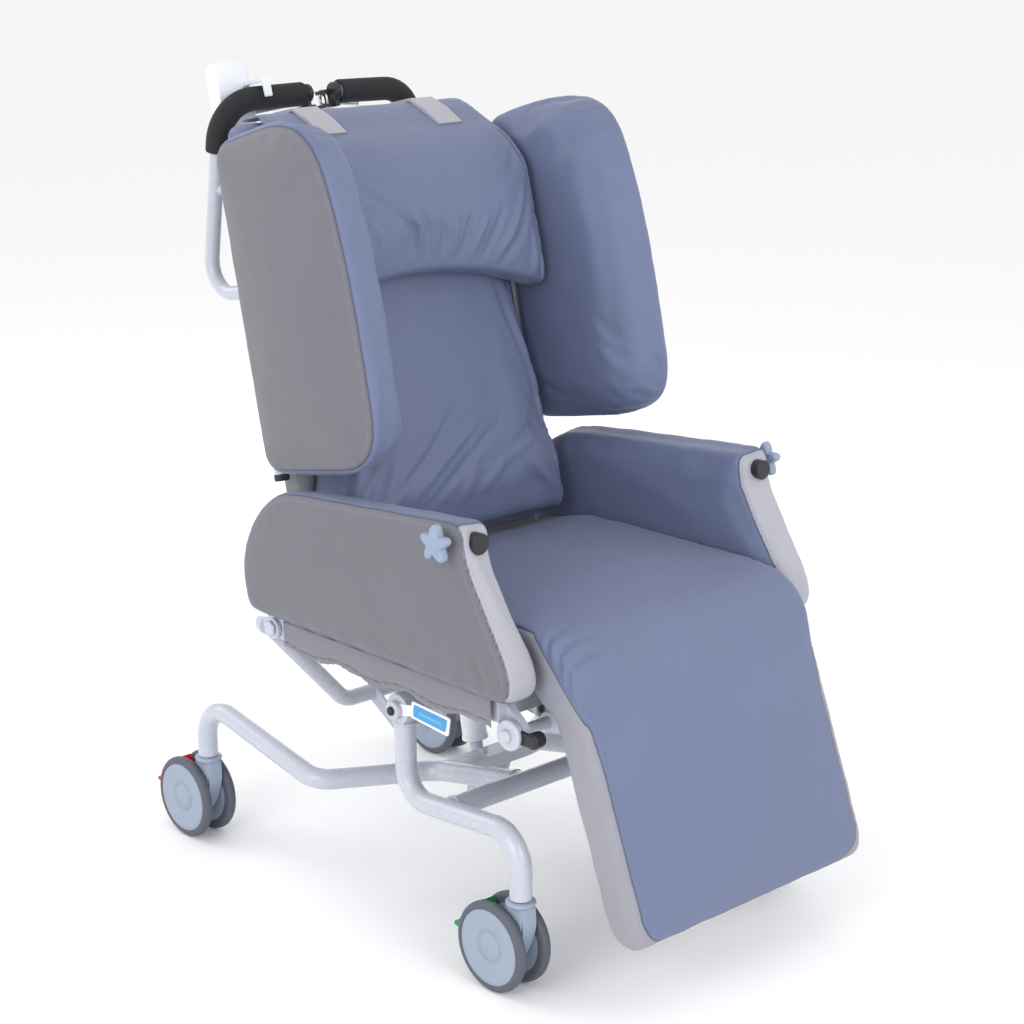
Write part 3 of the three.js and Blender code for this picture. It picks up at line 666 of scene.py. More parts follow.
def simulate(piece, pinned, pressure, cap, frames=20):
    """Puffs the piece up as cloth under pressure; pinned(point) is from 0, free, to 1, held."""
    rest = [vertex.co.copy() for vertex in piece.data.vertices]
    group = piece.vertex_groups.new(name="held")
    for i, point in enumerate(rest):
        weight = pinned(point)
        if weight > 0:
            group.add([i], weight, "REPLACE")
    modifier = piece.modifiers.new("cloth", "CLOTH")
    settings = modifier.settings
    settings.quality = 4
    settings.mass = 0.25
    settings.tension_stiffness = STRETCH_STIFFNESS
    settings.compression_stiffness = STRETCH_STIFFNESS
    settings.shear_stiffness = STRETCH_STIFFNESS / 3
    settings.bending_stiffness = BEND_STIFFNESS
    settings.use_pressure = True
    settings.uniform_pressure_force = pressure
    settings.effector_weights.gravity = 0
    settings.vertex_group_mass = group.name
    modifier.collision_settings.use_collision = False
    modifier.point_cache.frame_start = 1
    modifier.point_cache.frame_end = frames
    scene = bpy.context.scene
    for number in range(1, frames + 1):
        scene.frame_set(number)
    depsgraph = bpy.context.evaluated_depsgraph_get()
    moved = [vertex.co.copy() for vertex in piece.evaluated_get(depsgraph).data.vertices]
    piece.modifiers.remove(modifier)
    piece.vertex_groups.remove(group)
    for vertex, start, end in zip(piece.data.vertices, rest, moved):
        step = end - start
        if step.length > cap:
            step *= cap / step.length
        vertex.co = start + step
    scene.frame_set(1)


def stroke_depth(point, normal, strokes):
    """How far the folds move this point out, in mm: a stroke is (points, width, height)."""
    total = 0
    for line, width, height in strokes:
        best = None
        for i in range(len(line) - 1):
            near, t = intersect_point_line(point, line[i], line[i + 1])
            t = unit(t)
            gap = point - line[i].lerp(line[i + 1], t)
            above = gap.dot(normal)
            if abs(above) > FOLD_REACH:
                continue
            away = (gap - normal * above).length
            if best is None or away < best[0]:
                best = (away, (i + t) / (len(line) - 1))
        if best and best[0] < 3 * width:
            fade = math.sin(math.pi * unit(best[1] * 0.94 + 0.03)) ** 0.7
            r = (best[0] / width) ** 2
            total += height * fade * (1 - 0.8 * r) * math.exp(-r)
    return total


def fold(line, width, height):
    """One fold for stroke_depth: a ridge where height is above 0, else a groove."""
    return ([Vector(point) for point in line], width, height)


def painted(data):
    """The attributes that the cloth shader reads; a new one makes earlier handles stale."""
    for label in ("tone", "line", "pale"):
        data.attributes.new(label, "FLOAT", "POINT")
    return [data.attributes[label] for label in ("rest", "tone", "line", "pale")]


def soft(
    name, mesh, place, tone=None, line=None, pale=None, voxel=6.5, smooth=6, pinned=None,
    pressure=4, cap=12, folds=(), shape=None, ripple=0.6, material=None, fine=True,
):
    """A stuffed piece: remeshed, puffed up, folded, and given its seams."""
    piece = placed(name, mesh)
    remesh = piece.modifiers.new("remesh", "REMESH")
    remesh.mode = "VOXEL"
    remesh.voxel_size = voxel * MM
    if smooth:
        relaxed(piece, smooth)
    applied(piece)
    rest = piece.data.attributes.new("rest", "FLOAT_VECTOR", "POINT")
    for i, vertex in enumerate(piece.data.vertices):
        rest.data[i].vector = vertex.co
    back_to_place = place.inverted()
    turn_back = back_to_place.to_3x3()
    if pinned:
        simulate(piece, lambda point: pinned(back_to_place @ point), pressure, cap * MM)
        relaxed(piece, 2)
        applied(piece)
    if fine:
        finer = piece.modifiers.new("finer", "SUBSURF")
        finer.levels = 1
        finer.render_levels = 1
        applied(piece)
    data = piece.data
    normals = [vertex.normal.copy() for vertex in data.vertices]
    for vertex, normal in zip(data.vertices, normals):
        local = back_to_place @ vertex.co
        facing = (turn_back @ normal).normalized()
        out = stroke_depth(local, facing, folds) if folds else 0
        out += ripple * noise.noise(local / 38) + 0.4 * ripple * noise.noise(local / 13)
        vertex.co += normal * out * MM
        if shape:
            vertex.co = place @ shape(back_to_place @ vertex.co)
    rest, tones, lines, pales = painted(data)
    for i, vertex in enumerate(data.vertices):
        local = back_to_place @ rest.data[i].vector
        pales.data[i].value = pale(local) if pale else 0
        past = tone(local) if tone else -FAR
        tones.data[i].value = past
        gap = line(local) if line else FAR
        lines.data[i].value = gap
        near = min(abs(past), gap)
        if near < SEAM_HALF:
            vertex.co -= normals[i] * (SEAM_HALF - near) * SEAM_DIP * MM
    for polygon in data.polygons:
        polygon.use_smooth = True
    data.materials.clear()
    data.materials.append(material or cloth)
    return piece


def dressed(piece, body, node_names):
    """Says which body carries a soft piece, and hides the parts that it stands for."""
    if body:
        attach(piece, body)
    if node_names:
        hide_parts(*node_names)


def on_leg(r, u):
    """A point of the legrest, r to the rear and u up the board, as the chair's (y, z)."""
    y = -335 + r * math.cos(LEG_ANGLE) + u * math.sin(LEG_ANGLE)
    z = 362 - r * math.sin(LEG_ANGLE) + u * math.cos(LEG_ANGLE)
    return y, z


def leg_coordinates(y, z):
    """The other way round: (r, u) of a point of the chair."""
    dy, dz = y + 335, z - 362
    r = dy * math.cos(LEG_ANGLE) - dz * math.sin(LEG_ANGLE)
    u = dy * math.sin(LEG_ANGLE) + dz * math.cos(LEG_ANGLE)
    return r, u


# Seat, knee and legrest are one cover that bends at the knee.
SEAT_EDGE = 229  # half of the cover's width with its seams
SEAT_HALF = 226
HEM = 299
BACK_HALF = 193
PILLOW_HALF = 190
REAR_HALF = 217
WING_SPAN = (212, 290)
WING_SEAM = 281
ARM_SPAN = (238, 297)
ARM_SEAM = 291
ARM_FACE = 300


def seat_tone(p):
    """How far p is past the seam where the blue top gives way to the grey sides and hem."""
    r, u = leg_coordinates(p.y, p.z)
    knee = ((p.y + 437) * 81 - (p.z - 391) * 78) / 112
    lower = unit((40 - u) / 110) if r < 0 else 0
    edge = SEAT_EDGE - 7 - 9 * lower
    if r > 0 or u > 60:
        return min(abs(p.x) - edge, knee)
    if u > -200:
        behind = r + 64 if u < 0 else -FAR
        return max(min(abs(p.x) - edge, knee), behind)
    corner = 40
    across = abs(p.x) - (edge - corner)
    down = -(HEM - corner) - u
    rim = max(across, down) - corner
    if across > 0 and down > 0:
        rim = math.hypot(across, down) - corner
    return max(rim, r + 64)


def seat_pins(p):
    """Where the cover is held to the seat pan, the sides and the legrest's board."""
    r, u = leg_coordinates(p.y, p.z)
    if p.y > -330:
        return 1.0 if p.z < 440 or abs(p.x) > 216 or p.y > 40 else 0.0
    side = abs(p.x) > 219
    return 1.0 if side or r > -70 or u < -296 else 0.0


def seat_cover():
    outline = [
        (98, 416), (98, 468), (70, 477), (42, 484), (10, 494), (-60, 498), (-330, 498), (-366, 495),
        (-400, 480), (-424, 452), on_leg(-109, 4), on_leg(-109, -274), on_leg(-97, -304),
        on_leg(-64, -298), on_leg(-48, -268), on_leg(-48, 6), (-352, 394), (-334, 415),
    ]
    folds = [
        fold([(-231, -372, 468), (-222, -366, 488), (-196, -360, 496), (-172, -358, 498)], 5, -4),
        fold([(-231, -394, 448), (-222, -388, 474), (-190, -386, 487), (-160, -388, 488)], 5, -4.5),
        fold([(-230, -410, 430), (-220, -404, 458), (-188, -406, 470), (-164, -410, 470)], 5, -3.5),
        fold([(-231, -383, 458), (-222, -377, 482), (-190, -374, 492)], 6, 2.5),
        fold([(228, -330, 494), (206, -322, 499), (180, -318, 499)], 6, -2.5),
    ]
    for side in (1, -1):
        folds.append(
            fold([(side * 232, 0, 480), (side * 150, -40, 500), (side * 60, -60, 500)], 22, 2.5)
        )
    folds.append(fold([(-150, 12, 498), (0, 4, 499), (150, 12, 498)], 18, -3))
    mesh = block_of(
        rounded([(*point, 16) for point in outline], 3), -SEAT_HALF, SEAT_HALF, 17, CHAIR,
    )
    piece = soft(
        "seat_and_legrest_cover", mesh, CHAIR, tone=seat_tone, pale=lambda p: 0.6, voxel=7,
        pinned=seat_pins, pressure=5, cap=14, folds=folds, ripple=0.9,
    )
    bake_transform(piece)
    dressed(piece, None, ["seat_cushion", "knee_cushion", "legrest_cushion"])


def cushion_front(v):
    """How far in front of the back board the cushion's face lies, at height v."""
    low, high = 130, 300
    t = unit((v - low) / (high - low))
    return -149 + 33 * t


def back_cushion():
    corners = [
        (-48, -34, 19), (-48, 554, 19), (-83, 541, 20), (-111, 490, 40), (-112, 300, 90),
        (-143, 130, 90), (-144, -34, 28),
    ]
    outline = rounded(corners, 5)
    marks = [
        ([(150, 330), (168, 225), (196, 90)], 9, 5.0),
        ([(166, 330), (186, 200), (199, 90)], 7, -5.0),
        ([(128, 330), (150, 235), (184, 80)], 9, -4.5),
        ([(186, 200), (196, 40), (198, -20)], 8, 4.0),
        ([(-125, 50), (-60, 102), (10, 165)], 9, -4.5),
        ([(-104, 36), (-30, 92), (46, 140)], 10, 4.5), ([(-80, 20), (0, 78), (80, 128)], 9, -4.0),
        ([(-196, 20), (-160, 70), (-120, 150)], 12, 4.0),
        ([(20, 30), (64, 64), (140, 98)], 10, 3.5), ([(60, 60), (124, 102), (192, 158)], 11, -3.5),
        ([(150, 96), (186, 40), (198, 0)], 10, -4.0), ([(-20, 10), (10, 60), (20, 110)], 11, 3.0),
        ([(95, 22), (108, 150), (112, 262)], 26, 3.0),
        ([(-174, 84), (-150, 170), (-133, 260)], 14, -3.0),
    ]
    folds = []
    for line, width, height in marks:
        folds.append(fold([(x, cushion_front(v), v) for x, v in line], width, height))
    mesh = block_of(outline, -BACK_HALF, BACK_HALF, 20, BACK)

    def shape(p):
        low = unit((112 - p.z) / 70)
        p.x *= 1 + 0.085 * ease(low)
        return p

    piece = soft(
        "back_cushion_cover", mesh, BACK, shape=shape, voxel=6.5,
        pinned=lambda p: 1.0 if p.y > -90 else 0.0, pressure=5, cap=13, folds=folds, ripple=1.0,
        material=cloth_blue,
    )
    dressed(piece, "back", ["back_cushion"])


def pillow_drop(x):
    """How far the pillow's lower edge lies above its lowest line, across the chair."""
    if x > -40:
        return 25 - 43 * ((x + 40) / 230) ** 2
    return 25 - 8 * ((-x - 40) / 100) ** 2


def head_pillow():
    outline = rounded([
        (-124, 326, 8), (-124, 442, 12), (-117, 508, 12), (-96, 541, 8), (-68, 563, 8),
        (-53, 581, 4), (-48, 596, 3), (-4, 596, 2), (-4, 603, 3), (-48, 603, 12), (-79, 583, 16),
        (-104, 561, 16), (-142, 537, 24), (-175, 497, 30), (-182, 420, 40), (-177, 326, 20),
    ])
    front = -184
    marks = [
        ([(-60, 352), (-60, 400), (-90, 440)], 8, -4.5),
        ([(-48, 350), (-46, 400), (-66, 450)], 7, 4.0),
        ([(-34, 350), (-30, 400), (-36, 436)], 7, -5.0),
        ([(-18, 350), (-14, 396), (-16, 420)], 6, 4.0), ([(-4, 350), (0, 390), (-2, 424)], 7, -4.5),
        ([(14, 348), (20, 390), (24, 420)], 7, 4.5), ([(30, 346), (44, 390), (56, 420)], 7, -5.0),
        ([(48, 344), (66, 384), (84, 414)], 7, 4.0), ([(68, 342), (92, 384), (116, 424)], 8, -4.5),
        ([(90, 338), (124, 386), (168, 452)], 8, 4.5),
        ([(104, 336), (146, 392), (182, 470)], 8, -4.0),
        ([(-88, 440), (-110, 458), (-140, 482)], 10, -3.5),
        ([(166, 318), (170, 360), (172, 404)], 7, 4.0),
        ([(180, 312), (184, 370), (186, 430)], 7, -3.5),
        ([(-120, 352), (-118, 390), (-134, 430)], 9, 3.0),
    ]
    folds = [fold([(x, front, v) for x, v in line], width, height) for line, width, height in marks]

    def shape(p):
        low = unit((470 - p.z) / 130)
        p.z += pillow_drop(p.x) * ease(low)
        return p

    piece = soft(
        "head_pillow_cover", block_of(outline, -PILLOW_HALF, PILLOW_HALF, 10, BACK), BACK, voxel=5,
        smooth=3, line=lambda p: abs(abs(p.x) - 180) if p.y < -130 else FAR,
        pinned=lambda p: 1.0 if p.y > -118 or p.z < 336 else 0.0, pressure=4, cap=9, folds=folds,
        shape=shape, ripple=0.8, material=cloth_blue,
    )
    dressed(piece, "back", ["head_pillow"])


WING_LINE = [(-54, 107, 34), (-54, 569, 34), (-276, 585, 110), (-316, 400, 130), (-316, 95, 90)]


def wing(name, side):
    near, far = [side * x for x in WING_SPAN]
    mesh = block_of(rounded(WING_LINE, 7), near, far, 26, BACK)
    marks = []
    for places, width, height in (
        (((-316, 470), (-318, 474), (-312, 476)), 3.5, -1.6),
        (((-318, 330), (-320, 328), (-314, 326)), 3.5, -1.6),
        (((-312, 170), (-314, 166), (-308, 164)), 3.5, -1.6),
        (((-190, 590), (-190, 592), (-190, 588)), 4, -1.4),
        (((-190, 110), (-190, 108), (-190, 112)), 4, -1.8),
    ):
        line = [(side * x, n, v) for x, (n, v) in zip((262, 238, 222), places)]
        marks.append((line, width, height))
    inner = [(side * 205, -80, 170), (side * 203, -120, 160), (side * 206, -170, 128)]
    marks.append((inner, 12, -2.5))
    piece = soft(
        f"wing_{name}_cover", mesh, BACK, tone=lambda p: abs(p.x) - WING_SEAM, voxel=7,
        pinned=lambda p: 1.0 if p.y > -66 or WING_SEAM - 8 < abs(p.x) < WING_SEAM else 0.0,
        pressure=6, cap=11, folds=[fold(*mark) for mark in marks], ripple=0.7,
    )
    dressed(piece, f"wing_{name}", [f"wing_cushion_{name}"])


ARM_LINE = [
    (-369, 413, 24), (170, 416, 22), (187, 480, 40), (161, 554, 50), (97, 609, 50), (-284, 640, 22),
    (-290, 588, 30), (-334, 519, 50), (-375, 455, 36),
]
ARM_FRONT = [
    (-282, 645), (-290, 592), (-311, 554), (-335, 519), (-356, 486), (-372, 452), (-369, 412),
]


def arm_front_gap(p):
    """Distance from p to the line of the armrest's pale front edge."""
    point = Vector((p.y, p.z, 0))
    best = 999
    for a, b in zip(ARM_FRONT, ARM_FRONT[1:]):
        a, b = Vector((*a, 0)), Vector((*b, 0))
        near, t = intersect_point_line(point, a, b)
        near = a.lerp(b, unit(t))
        best = min(best, (point - near).length)
    return best


def arm_tone(p):
    return max(abs(p.x) - ARM_SEAM, 9 - arm_front_gap(p))


def arm_line(p):
    return abs(abs(p.x) - ARM_SEAM) if arm_front_gap(p) < 7 else FAR


def armrest(name, side):
    near, far = [side * x for x in ARM_SPAN]
    mesh = block_of(rounded(ARM_LINE, 5), near, far, 13, CHAIR)

    def shape(p):
        low = unit((446 - p.z) / 34)
        p.x += side * low * 1.6 * math.sin(p.y / 11 + 2.1 * math.sin(p.y / 47))
        return p

    outer = side * ARM_FACE
    marks = [
        ([(outer, 120, 430), (outer, -60, 424), (outer, -260, 430)], 14, -2.0),
        ([(outer, -306, 480), (outer, -322, 446), (outer, -330, 424)], 9, -2.5),
        ([(side * 236, 60, 600), (side * 234, -100, 560), (side * 234, -240, 520)], 30, 2.0),
    ]
    piece = soft(
        f"armrest_{name}_cover", mesh, CHAIR, tone=arm_tone,
        pale=lambda p: 1.0 if arm_front_gap(p) < 9 and abs(p.x) < ARM_SEAM else 0.0, line=arm_line,
        voxel=6.5, smooth=4,
        pinned=lambda p: 1.0 if p.z < 440 or -4 < abs(p.x) - ARM_SEAM < 3 else 0.0, pressure=4,
        cap=6, folds=[fold(*mark) for mark in marks], shape=shape, ripple=0.7,
    )
    dressed(piece, "seat", [f"armrest_{name}"])


def rear_line(p):
    """Distance to the sewn lines of the back's cover."""
    x, v = p.x, p.z
    gaps = [FAR]
    if v < 340:
        gaps += [abs(abs(x) - 172)]
    if abs(x) < 80:
        gaps += [abs(v - 421)]
    pocket_x, pocket_low, pocket_high = 146, 112, 352
    if x < 0 and pocket_low + 30 < v < pocket_high:
        gaps.append(abs(x + pocket_x))
    if pocket_x - 30 > -x > 0:
        gaps.append(abs(v - pocket_low))
    corner = math.hypot(x + pocket_x - 30, v - pocket_low - 30)
    if x < -(pocket_x - 30) and v < pocket_low + 30:
        gaps.append(abs(corner - 30))
    return min(gaps)


def rear_cover():
    outline = rounded([(-46, -64, 8), (-46, 593, 16), (1.5, 593, 20), (1.5, -64, 10)])
    mesh = block_of(outline, -REAR_HALF, REAR_HALF, 14, BACK)
    marks = []
    for i in range(11):
        x = -70 + 14 * i
        marks.append(([(x, 1.5, 421), (x + 3, 1.5, 408), (x + 2, 1.5, 394 - 6 * (i % 3))], 4, -1.8))
    for i in range(9):
        low = -58 + 70 * i
        lean = 14 if i % 2 else -9
        marks.append((
            [(214, 1.5, low), (190, 1.5, low + lean), (176, 1.5, low + 1.6 * lean)], 6, -1.8,
        ))
    marks += [
        ([(-60, 1.5, -50), (-70, 1.5, 40), (-64, 1.5, 120)], 14, -3.4),
        ([(120, 1.5, -60), (128, 1.5, 60), (118, 1.5, 240)], 15, -3.2),
        ([(84, 1.5, -60), (96, 1.5, 40), (88, 1.5, 170)], 12, 2.6),
        ([(-110, 1.5, -60), (-120, 1.5, 10), (-100, 1.5, 90)], 12, 2.8),
        ([(-200, 1.5, 60), (-196, 1.5, 200), (-204, 1.5, 320)], 9, -3.0),
        ([(146, 1.5, 260), (150, 1.5, 330), (140, 1.5, 400)], 11, -2.6),
        ([(-120, 1.5, 380), (-60, 1.5, 372), (0, 1.5, 380)], 9, 2.0),
        ([(40, 1.5, 440), (50, 1.5, 500), (44, 1.5, 560)], 13, -2.2),
    ]
    piece = soft(
        "rear_cover", mesh, BACK, tone=lambda p: 552 + 8 * math.cos(p.x / 70) - p.z, line=rear_line,
        voxel=7, smooth=3, folds=[fold(*mark) for mark in marks], ripple=1.0, material=cloth_rear,
    )
    dressed(piece, "back", [])


seat_cover()
back_cushion()
head_pillow()
for side_name, sign in SIDES:
    wing(side_name, sign)
    armrest(side_name, sign)
rear_cover()


# ---- base -----------------------------------------------------------------------------------
STEM_X, STEM_Y, STEM_Z = 248, 345, 134
BASE_TUBE = 15


def weld(form, centre, axis, radius, thick=2.2):
    """A bead of weld round a joint: a ring about axis."""
    along, across, other = spokes(axis)
    rings = []
    for i, (a, b) in enumerate(turns(28)):
        spoke = across * a + other * b
        middle = Vector(centre) + spoke * radius
        size = thick * (1 + 0.18 * math.sin(i * 2.4))
        rings.append([middle + spoke * c * size + along * d * size for c, d in turns(8)])
    form.skin(rings, closed=True)


def fork(form, x, outline, pin, gap=(21, 26), head=7):
    """Two plates either side of a drive's eye, and the pin through them with its heads."""
    for sign in (1, -1):
        form.slab(outline, x + sign * gap[0], x + sign * gap[1])
    form.bar((x - gap[1] + 1, *pin), (x + gap[1] - 1, *pin), 4)
    for sign in (1, -1):
        outer = x + sign * gap[1]
        form.bar((outer - sign, *pin), (outer + sign * 4, *pin), head, sides=6)
        form.bar((outer + sign * 3.5, *pin), (outer + sign * 6, *pin), 3.2, soft=1, sides=12)


def base_frame():
    """The welded tubes that stand on the casters, and the tag on a front post."""
    form = Form("base_tubes", "base").use(white_paint)
    form.bar((-236, -185, 205), (236, -185, 205), BASE_TUBE, sides=32)
    plate = [(-92, 1), (-92, -30), (-60, -34), (60, -34), (92, -30), (92, 1)]
    form.skin([[(x, y, z) for x, y in plate] for z in (158, 178)])
    for _, side in SIDES:
        form.tube(
            [
                (side * 236, TILT[0], TILT[1] - 15), (side * 236, TILT[0] - 2, 200, 42),
                (side * 247, -STEM_Y, 224, 48), (side * 248, -STEM_Y, STEM_Z + 1),
            ],
            BASE_TUBE, 32, 12,
        )
        form.tube(
            [
                (side * 92, -185, 205), (side * 90, -2, 168, 38), (side * 247, 84, 170, 42),
                (side * 250, STEM_Y - 2, 226, 50), (side * 248, STEM_Y, STEM_Z + 1),
            ],
            BASE_TUBE, 32, 12,
        )
        form.turned(
            [(0, 9), (0, 20.5), (1.5, 22), (28.5, 22), (30, 20.5), (30, 9)],
            (side * 236 - 15, *TILT), (1, 0, 0), 36,
        )
        weld(form, (side * 221, -185, 205), (1, 0, 0), BASE_TUBE)
        weld(form, (side * 92, -170, 202), (0, 1, -0.2), BASE_TUBE)
        weld(form, (side * 236, TILT[0], TILT[1] - 21), (0, 0, 1), BASE_TUBE, 2.6)
    fork(form, 12, round_about((11, 96, 12), (-12, 168, 14)), (11, 96))
    form.finish(replaces=["base_frame"])
    tag = Form("post_tag", "base").use(white_plastic)
    tag.slab(
        rounded([(-134, 329, 3), (-137, 353, 4), (-215, 349, 4), (-210, 322, 4)]), -253, -251.4,
    )
    tag.slab(round_about((-103, 331, 9), (-146, 340, 7)), -252, -250.6)
    tag.use(tag_blue)
    tag.slab(
        rounded([(-140, 332, 3), (-142, 349, 3), (-209, 345, 3), (-205, 327, 3)]), -253.8, -252.6,
    )
    tag.use(label_blue)
    tag.slab(
        rounded([(-152, 338, 2), (-152, 342, 2), (-198, 339, 2), (-198, 335, 2)]), -254.2, -253.4,
    )
    tag.finish(0.3)


# ---- casters --------------------------------------------------------------------------------
def caster(end, name, x, y):
    """A twin-wheel caster with its pedal; its stem stands at (x, y)."""
    place = CHAIR @ Matrix.Translation((x, y, 0))
    key = f"{end}_{name}"
    axle = (0, 32, 62.5)
    housing = Form(f"caster_body_{key}", f"caster_{key}", place).use(pale_plastic)
    arm = rounded(
        [
            (-16, 127, 3), (-19, 92, 22), (2, 46, 18), (30, 31, 18), (58, 50, 20), (55, 84, 20),
            (22, 108, 14), (17, 127, 3),
        ],
        6,
    )
    housing.slab(arm, -11.8, 11.8)
    housing.turned(
        [(0, 14), (0, 18), (2, 20), (3.2, 20.5), (5.5, 20.5), (7, 18), (7, 10)], (0, 0, 126.6),
        (0, 0, 1), 36,
    )
    rib = rounded([(-14, 122, 3), (-13, 90, 12), (6, 62, 12), (14, 96, 12), (13, 122, 3)], 4)
    for sign in (1, -1):
        housing.slab(rib, sign * 11, sign * 13.2)
    housing.use(steel).bar((-13, *axle[1:]), (13, *axle[1:]), 5.8)
    housing.finish(1.4, [f"caster_housing_{key}"], "caster_plastic")

    wheels = Form(f"wheel_pair_{key}", f"wheels_{key}", place)
    for sign in (1, -1):
        half = [(0, 6, disc_plastic), (0, 42), (1.2, 48, tyre_rubber), (0.8, 57), (2.4, 60.6)]
        half += [(5.2, 62.2), (8, 62.5), (11, 62), (13.6, 60.2), (15.3, 57), (15.6, 53.2)]
        half += [(14.6, 52.2, disc_plastic), (15.4, 50.8), (14.8, 44), (13.9, 30), (13.4, 22.5)]
        half += [(12.6, 21.8), (12.6, 20.6), (13.6, 19.8), (14, 8), (14, 6)]
        start = (sign * 14, *axle[1:])
        wheels.turned(half, start, (sign, 0, 0), 64)
    wheels.use(steel).bar((-15, *axle[1:]), (15, *axle[1:]), 5.2)
    wheels.finish(0, [f"caster_wheels_{key}"], "wheel_tread", angle=50)

    colour = green_plastic if (end, name) == ("front", "right") else red_plastic
    pedal = Form(f"brake_pedal_{key}", f"pedal_{key}", place).use(colour)
    outer = arc(axle[1:], 60.5, range(0, 63, 6))
    pedal.slab(outer + arc(axle[1:], 37.5, range(60, -1, -6)), -11, 11)
    pedal.slab(rounded([(88, 65.5, 3), (107, 67.5, 3), (107, 73.5, 3), (90, 75, 3)]), -21.8, 21.8)
    for step in range(3):
        y = 93 - 1.4 * step**2 - 4 * step
        z = 84 + 9 * step
        pedal.block((-8, 8), (y, y + 2), (z, z + 2.2))
    pedal.finish(1.2, [f"caster_pedal_{key}"])


# ---- seat -----------------------------------------------------------------------------------
def seat_frame():
    form = Form("seat_rails", "seat").use(white_paint)
    for y in (-300, TILT[0], -20, 107):
        form.block((-240, 240), (y - 12, y + 12), (376, 402))
    for _, side in SIDES:
        form.block(mirrored(side, 232, 262), (-318, 165), (374, 404))
        form.slab(round_about((-335, 362, 19), (-308, 386, 16)), side * 238, side * 250)
        form.slab(round_about((*TILT, 19), (TILT[0], 388, 14)), side * 206, side * 218)
        form.bar((side * 210, *TILT), (side * 256, *TILT), 8)
        form.bar((side * 252, *TILT), (side * 260, *TILT), 13, soft=2, sides=32)
        weld(form, (side * 218, TILT[0], 374), (0, 0, 1), 13, 2)
    fork(form, 12, round_about((62, 352, 12), (103, 386, 12)), (62, 352))
    fork(form, -80, round_about((-20, 345, 12), (-20, 386, 12)), (-20, 345))
    form.finish(1.2, ["seat_frame"])
    ends = Form("rail_plugs", "seat").use(yellow_plastic)
    for _, side in SIDES:
        ends.block(mirrored(side, 235, 259), (163, 168.5), (377, 401))
    ends.use(black_plastic)
    for _, side in SIDES:
        ends.bar((side * 259.5, *TILT), (side * 264, *TILT), 6.5, soft=2)
    ends.finish(1)


def seat_pan():
    form = Form("seat_board", "seat").use(case_plastic)
    form.block((-270, 270), (-316, 116), (404.4, 411))
    form.finish(1, ["seat_pan"], "grey_vinyl")
    for name, side in SIDES:
        outline = []
        low = []
        for i in range(61):
            y = -316 + 7.2 * i
            outline.append((y, 410))
            low.append((y, 368 + 3.5 * math.sin(i * 0.33) + 1.5 * math.sin(i * 0.9)))
        mesh = block_of(outline + low[::-1], side * 270.6, side * 273.6, 0.8, CHAIR)

        def shape(p, side=side):
            hang = unit((408 - p.z) / 40)
            p.x += side * hang * (1.2 * math.sin(p.y / 17) - 1.5)
            return p

        piece = soft(
            f"skirt_{name}", mesh, CHAIR, voxel=2.6, smooth=1,
            line=lambda p: abs(p.z - 376 - 3.5 * math.sin((p.y + 316) / 7.2 * 0.33)), shape=shape,
            ripple=0.3, material=cloth_grey, fine=False,
        )
        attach(piece, "seat")


def yoke():
    form = Form("yoke_bent_tube", "seat").use(white_paint)
    y, z = RECLINE
    form.tube(
        [
            (-264, y + 14, z - 1), (-245, 192, 381, 22), (-78, 225, 212, 40), (78, 225, 212, 40),
            (245, 192, 381, 22), (264, y + 14, z - 1),
        ],
        12.5, 28, 12,
    )
    for _, side in SIDES:
        form.slab(round_about((y, z, 16), (y + 26, z - 1, 12)), side * 262.6, side * 268.8)
    fork(form, 0, round_about((165, 175, 12), (225, 212, 12)), (165, 175))
    form.finish(1, ["yoke_tube"])


SOCKET_X, SOCKET_FRONT, SOCKET_Z = 270, -296, 609
STAR = (-260, 611)


def arm_fittings():
    """Tray sockets in the armrest fronts, and the star knobs that clamp them."""
    for name, side in SIDES:
        socket = Form(f"tray_socket_ring_{name}", "seat").use(black_plastic)
        socket.turned(
            [(0, 8), (0, 12.6), (1.2, 14), (3, 14), (3.4, 13.6), (53, 13.6), (53, 7)],
            (side * SOCKET_X, SOCKET_FRONT, SOCKET_Z), (0, 1, 0), 36,
        )
        inside = (side * SOCKET_X, SOCKET_FRONT + 2.5, SOCKET_Z)
        socket.bar(inside, (side * SOCKET_X, -250, SOCKET_Z), 8.2)
        socket.use(steel).bar((side * SOCKET_X, SOCKET_FRONT + 0.6, SOCKET_Z), inside, 3.4, sides=6)
        socket.finish(0.8, [f"tray_socket_{name}"], "black_plastic")
        knob = Form(f"star_knob_{name}", f"knob_{name}").use(knob_plastic)
        rings = []
        for x, size in (
            (307.6, 0.82), (308.6, 0.93), (311, 1), (318.5, 1), (320.8, 0.93), (322, 0.8),
        ):
            ring = []
            for (a, b), (lobe, _) in zip(turns(60), turns(12) * 5):
                radius = (20 + 5.6 * lobe) * size
                ring.append((side * x, STAR[0] + radius * b, STAR[1] + radius * a))
            rings.append(ring)
        knob.skin(rings)
        knob.bar((side * 300.6, *STAR), (side * 310, *STAR), 7)
        knob.bar((side * 320.8, *STAR), (side * 321.95, *STAR), 9.5, soft=0.6)
        knob.use(steel).bar((side * 320.9, *STAR), (side * 321.98, *STAR), 3, sides=6)
        knob.finish(0.6, [f"arm_knob_{name}"])


# ---- legrest --------------------------------------------------------------------------------
LATCH_KNOB = (-34, -13)


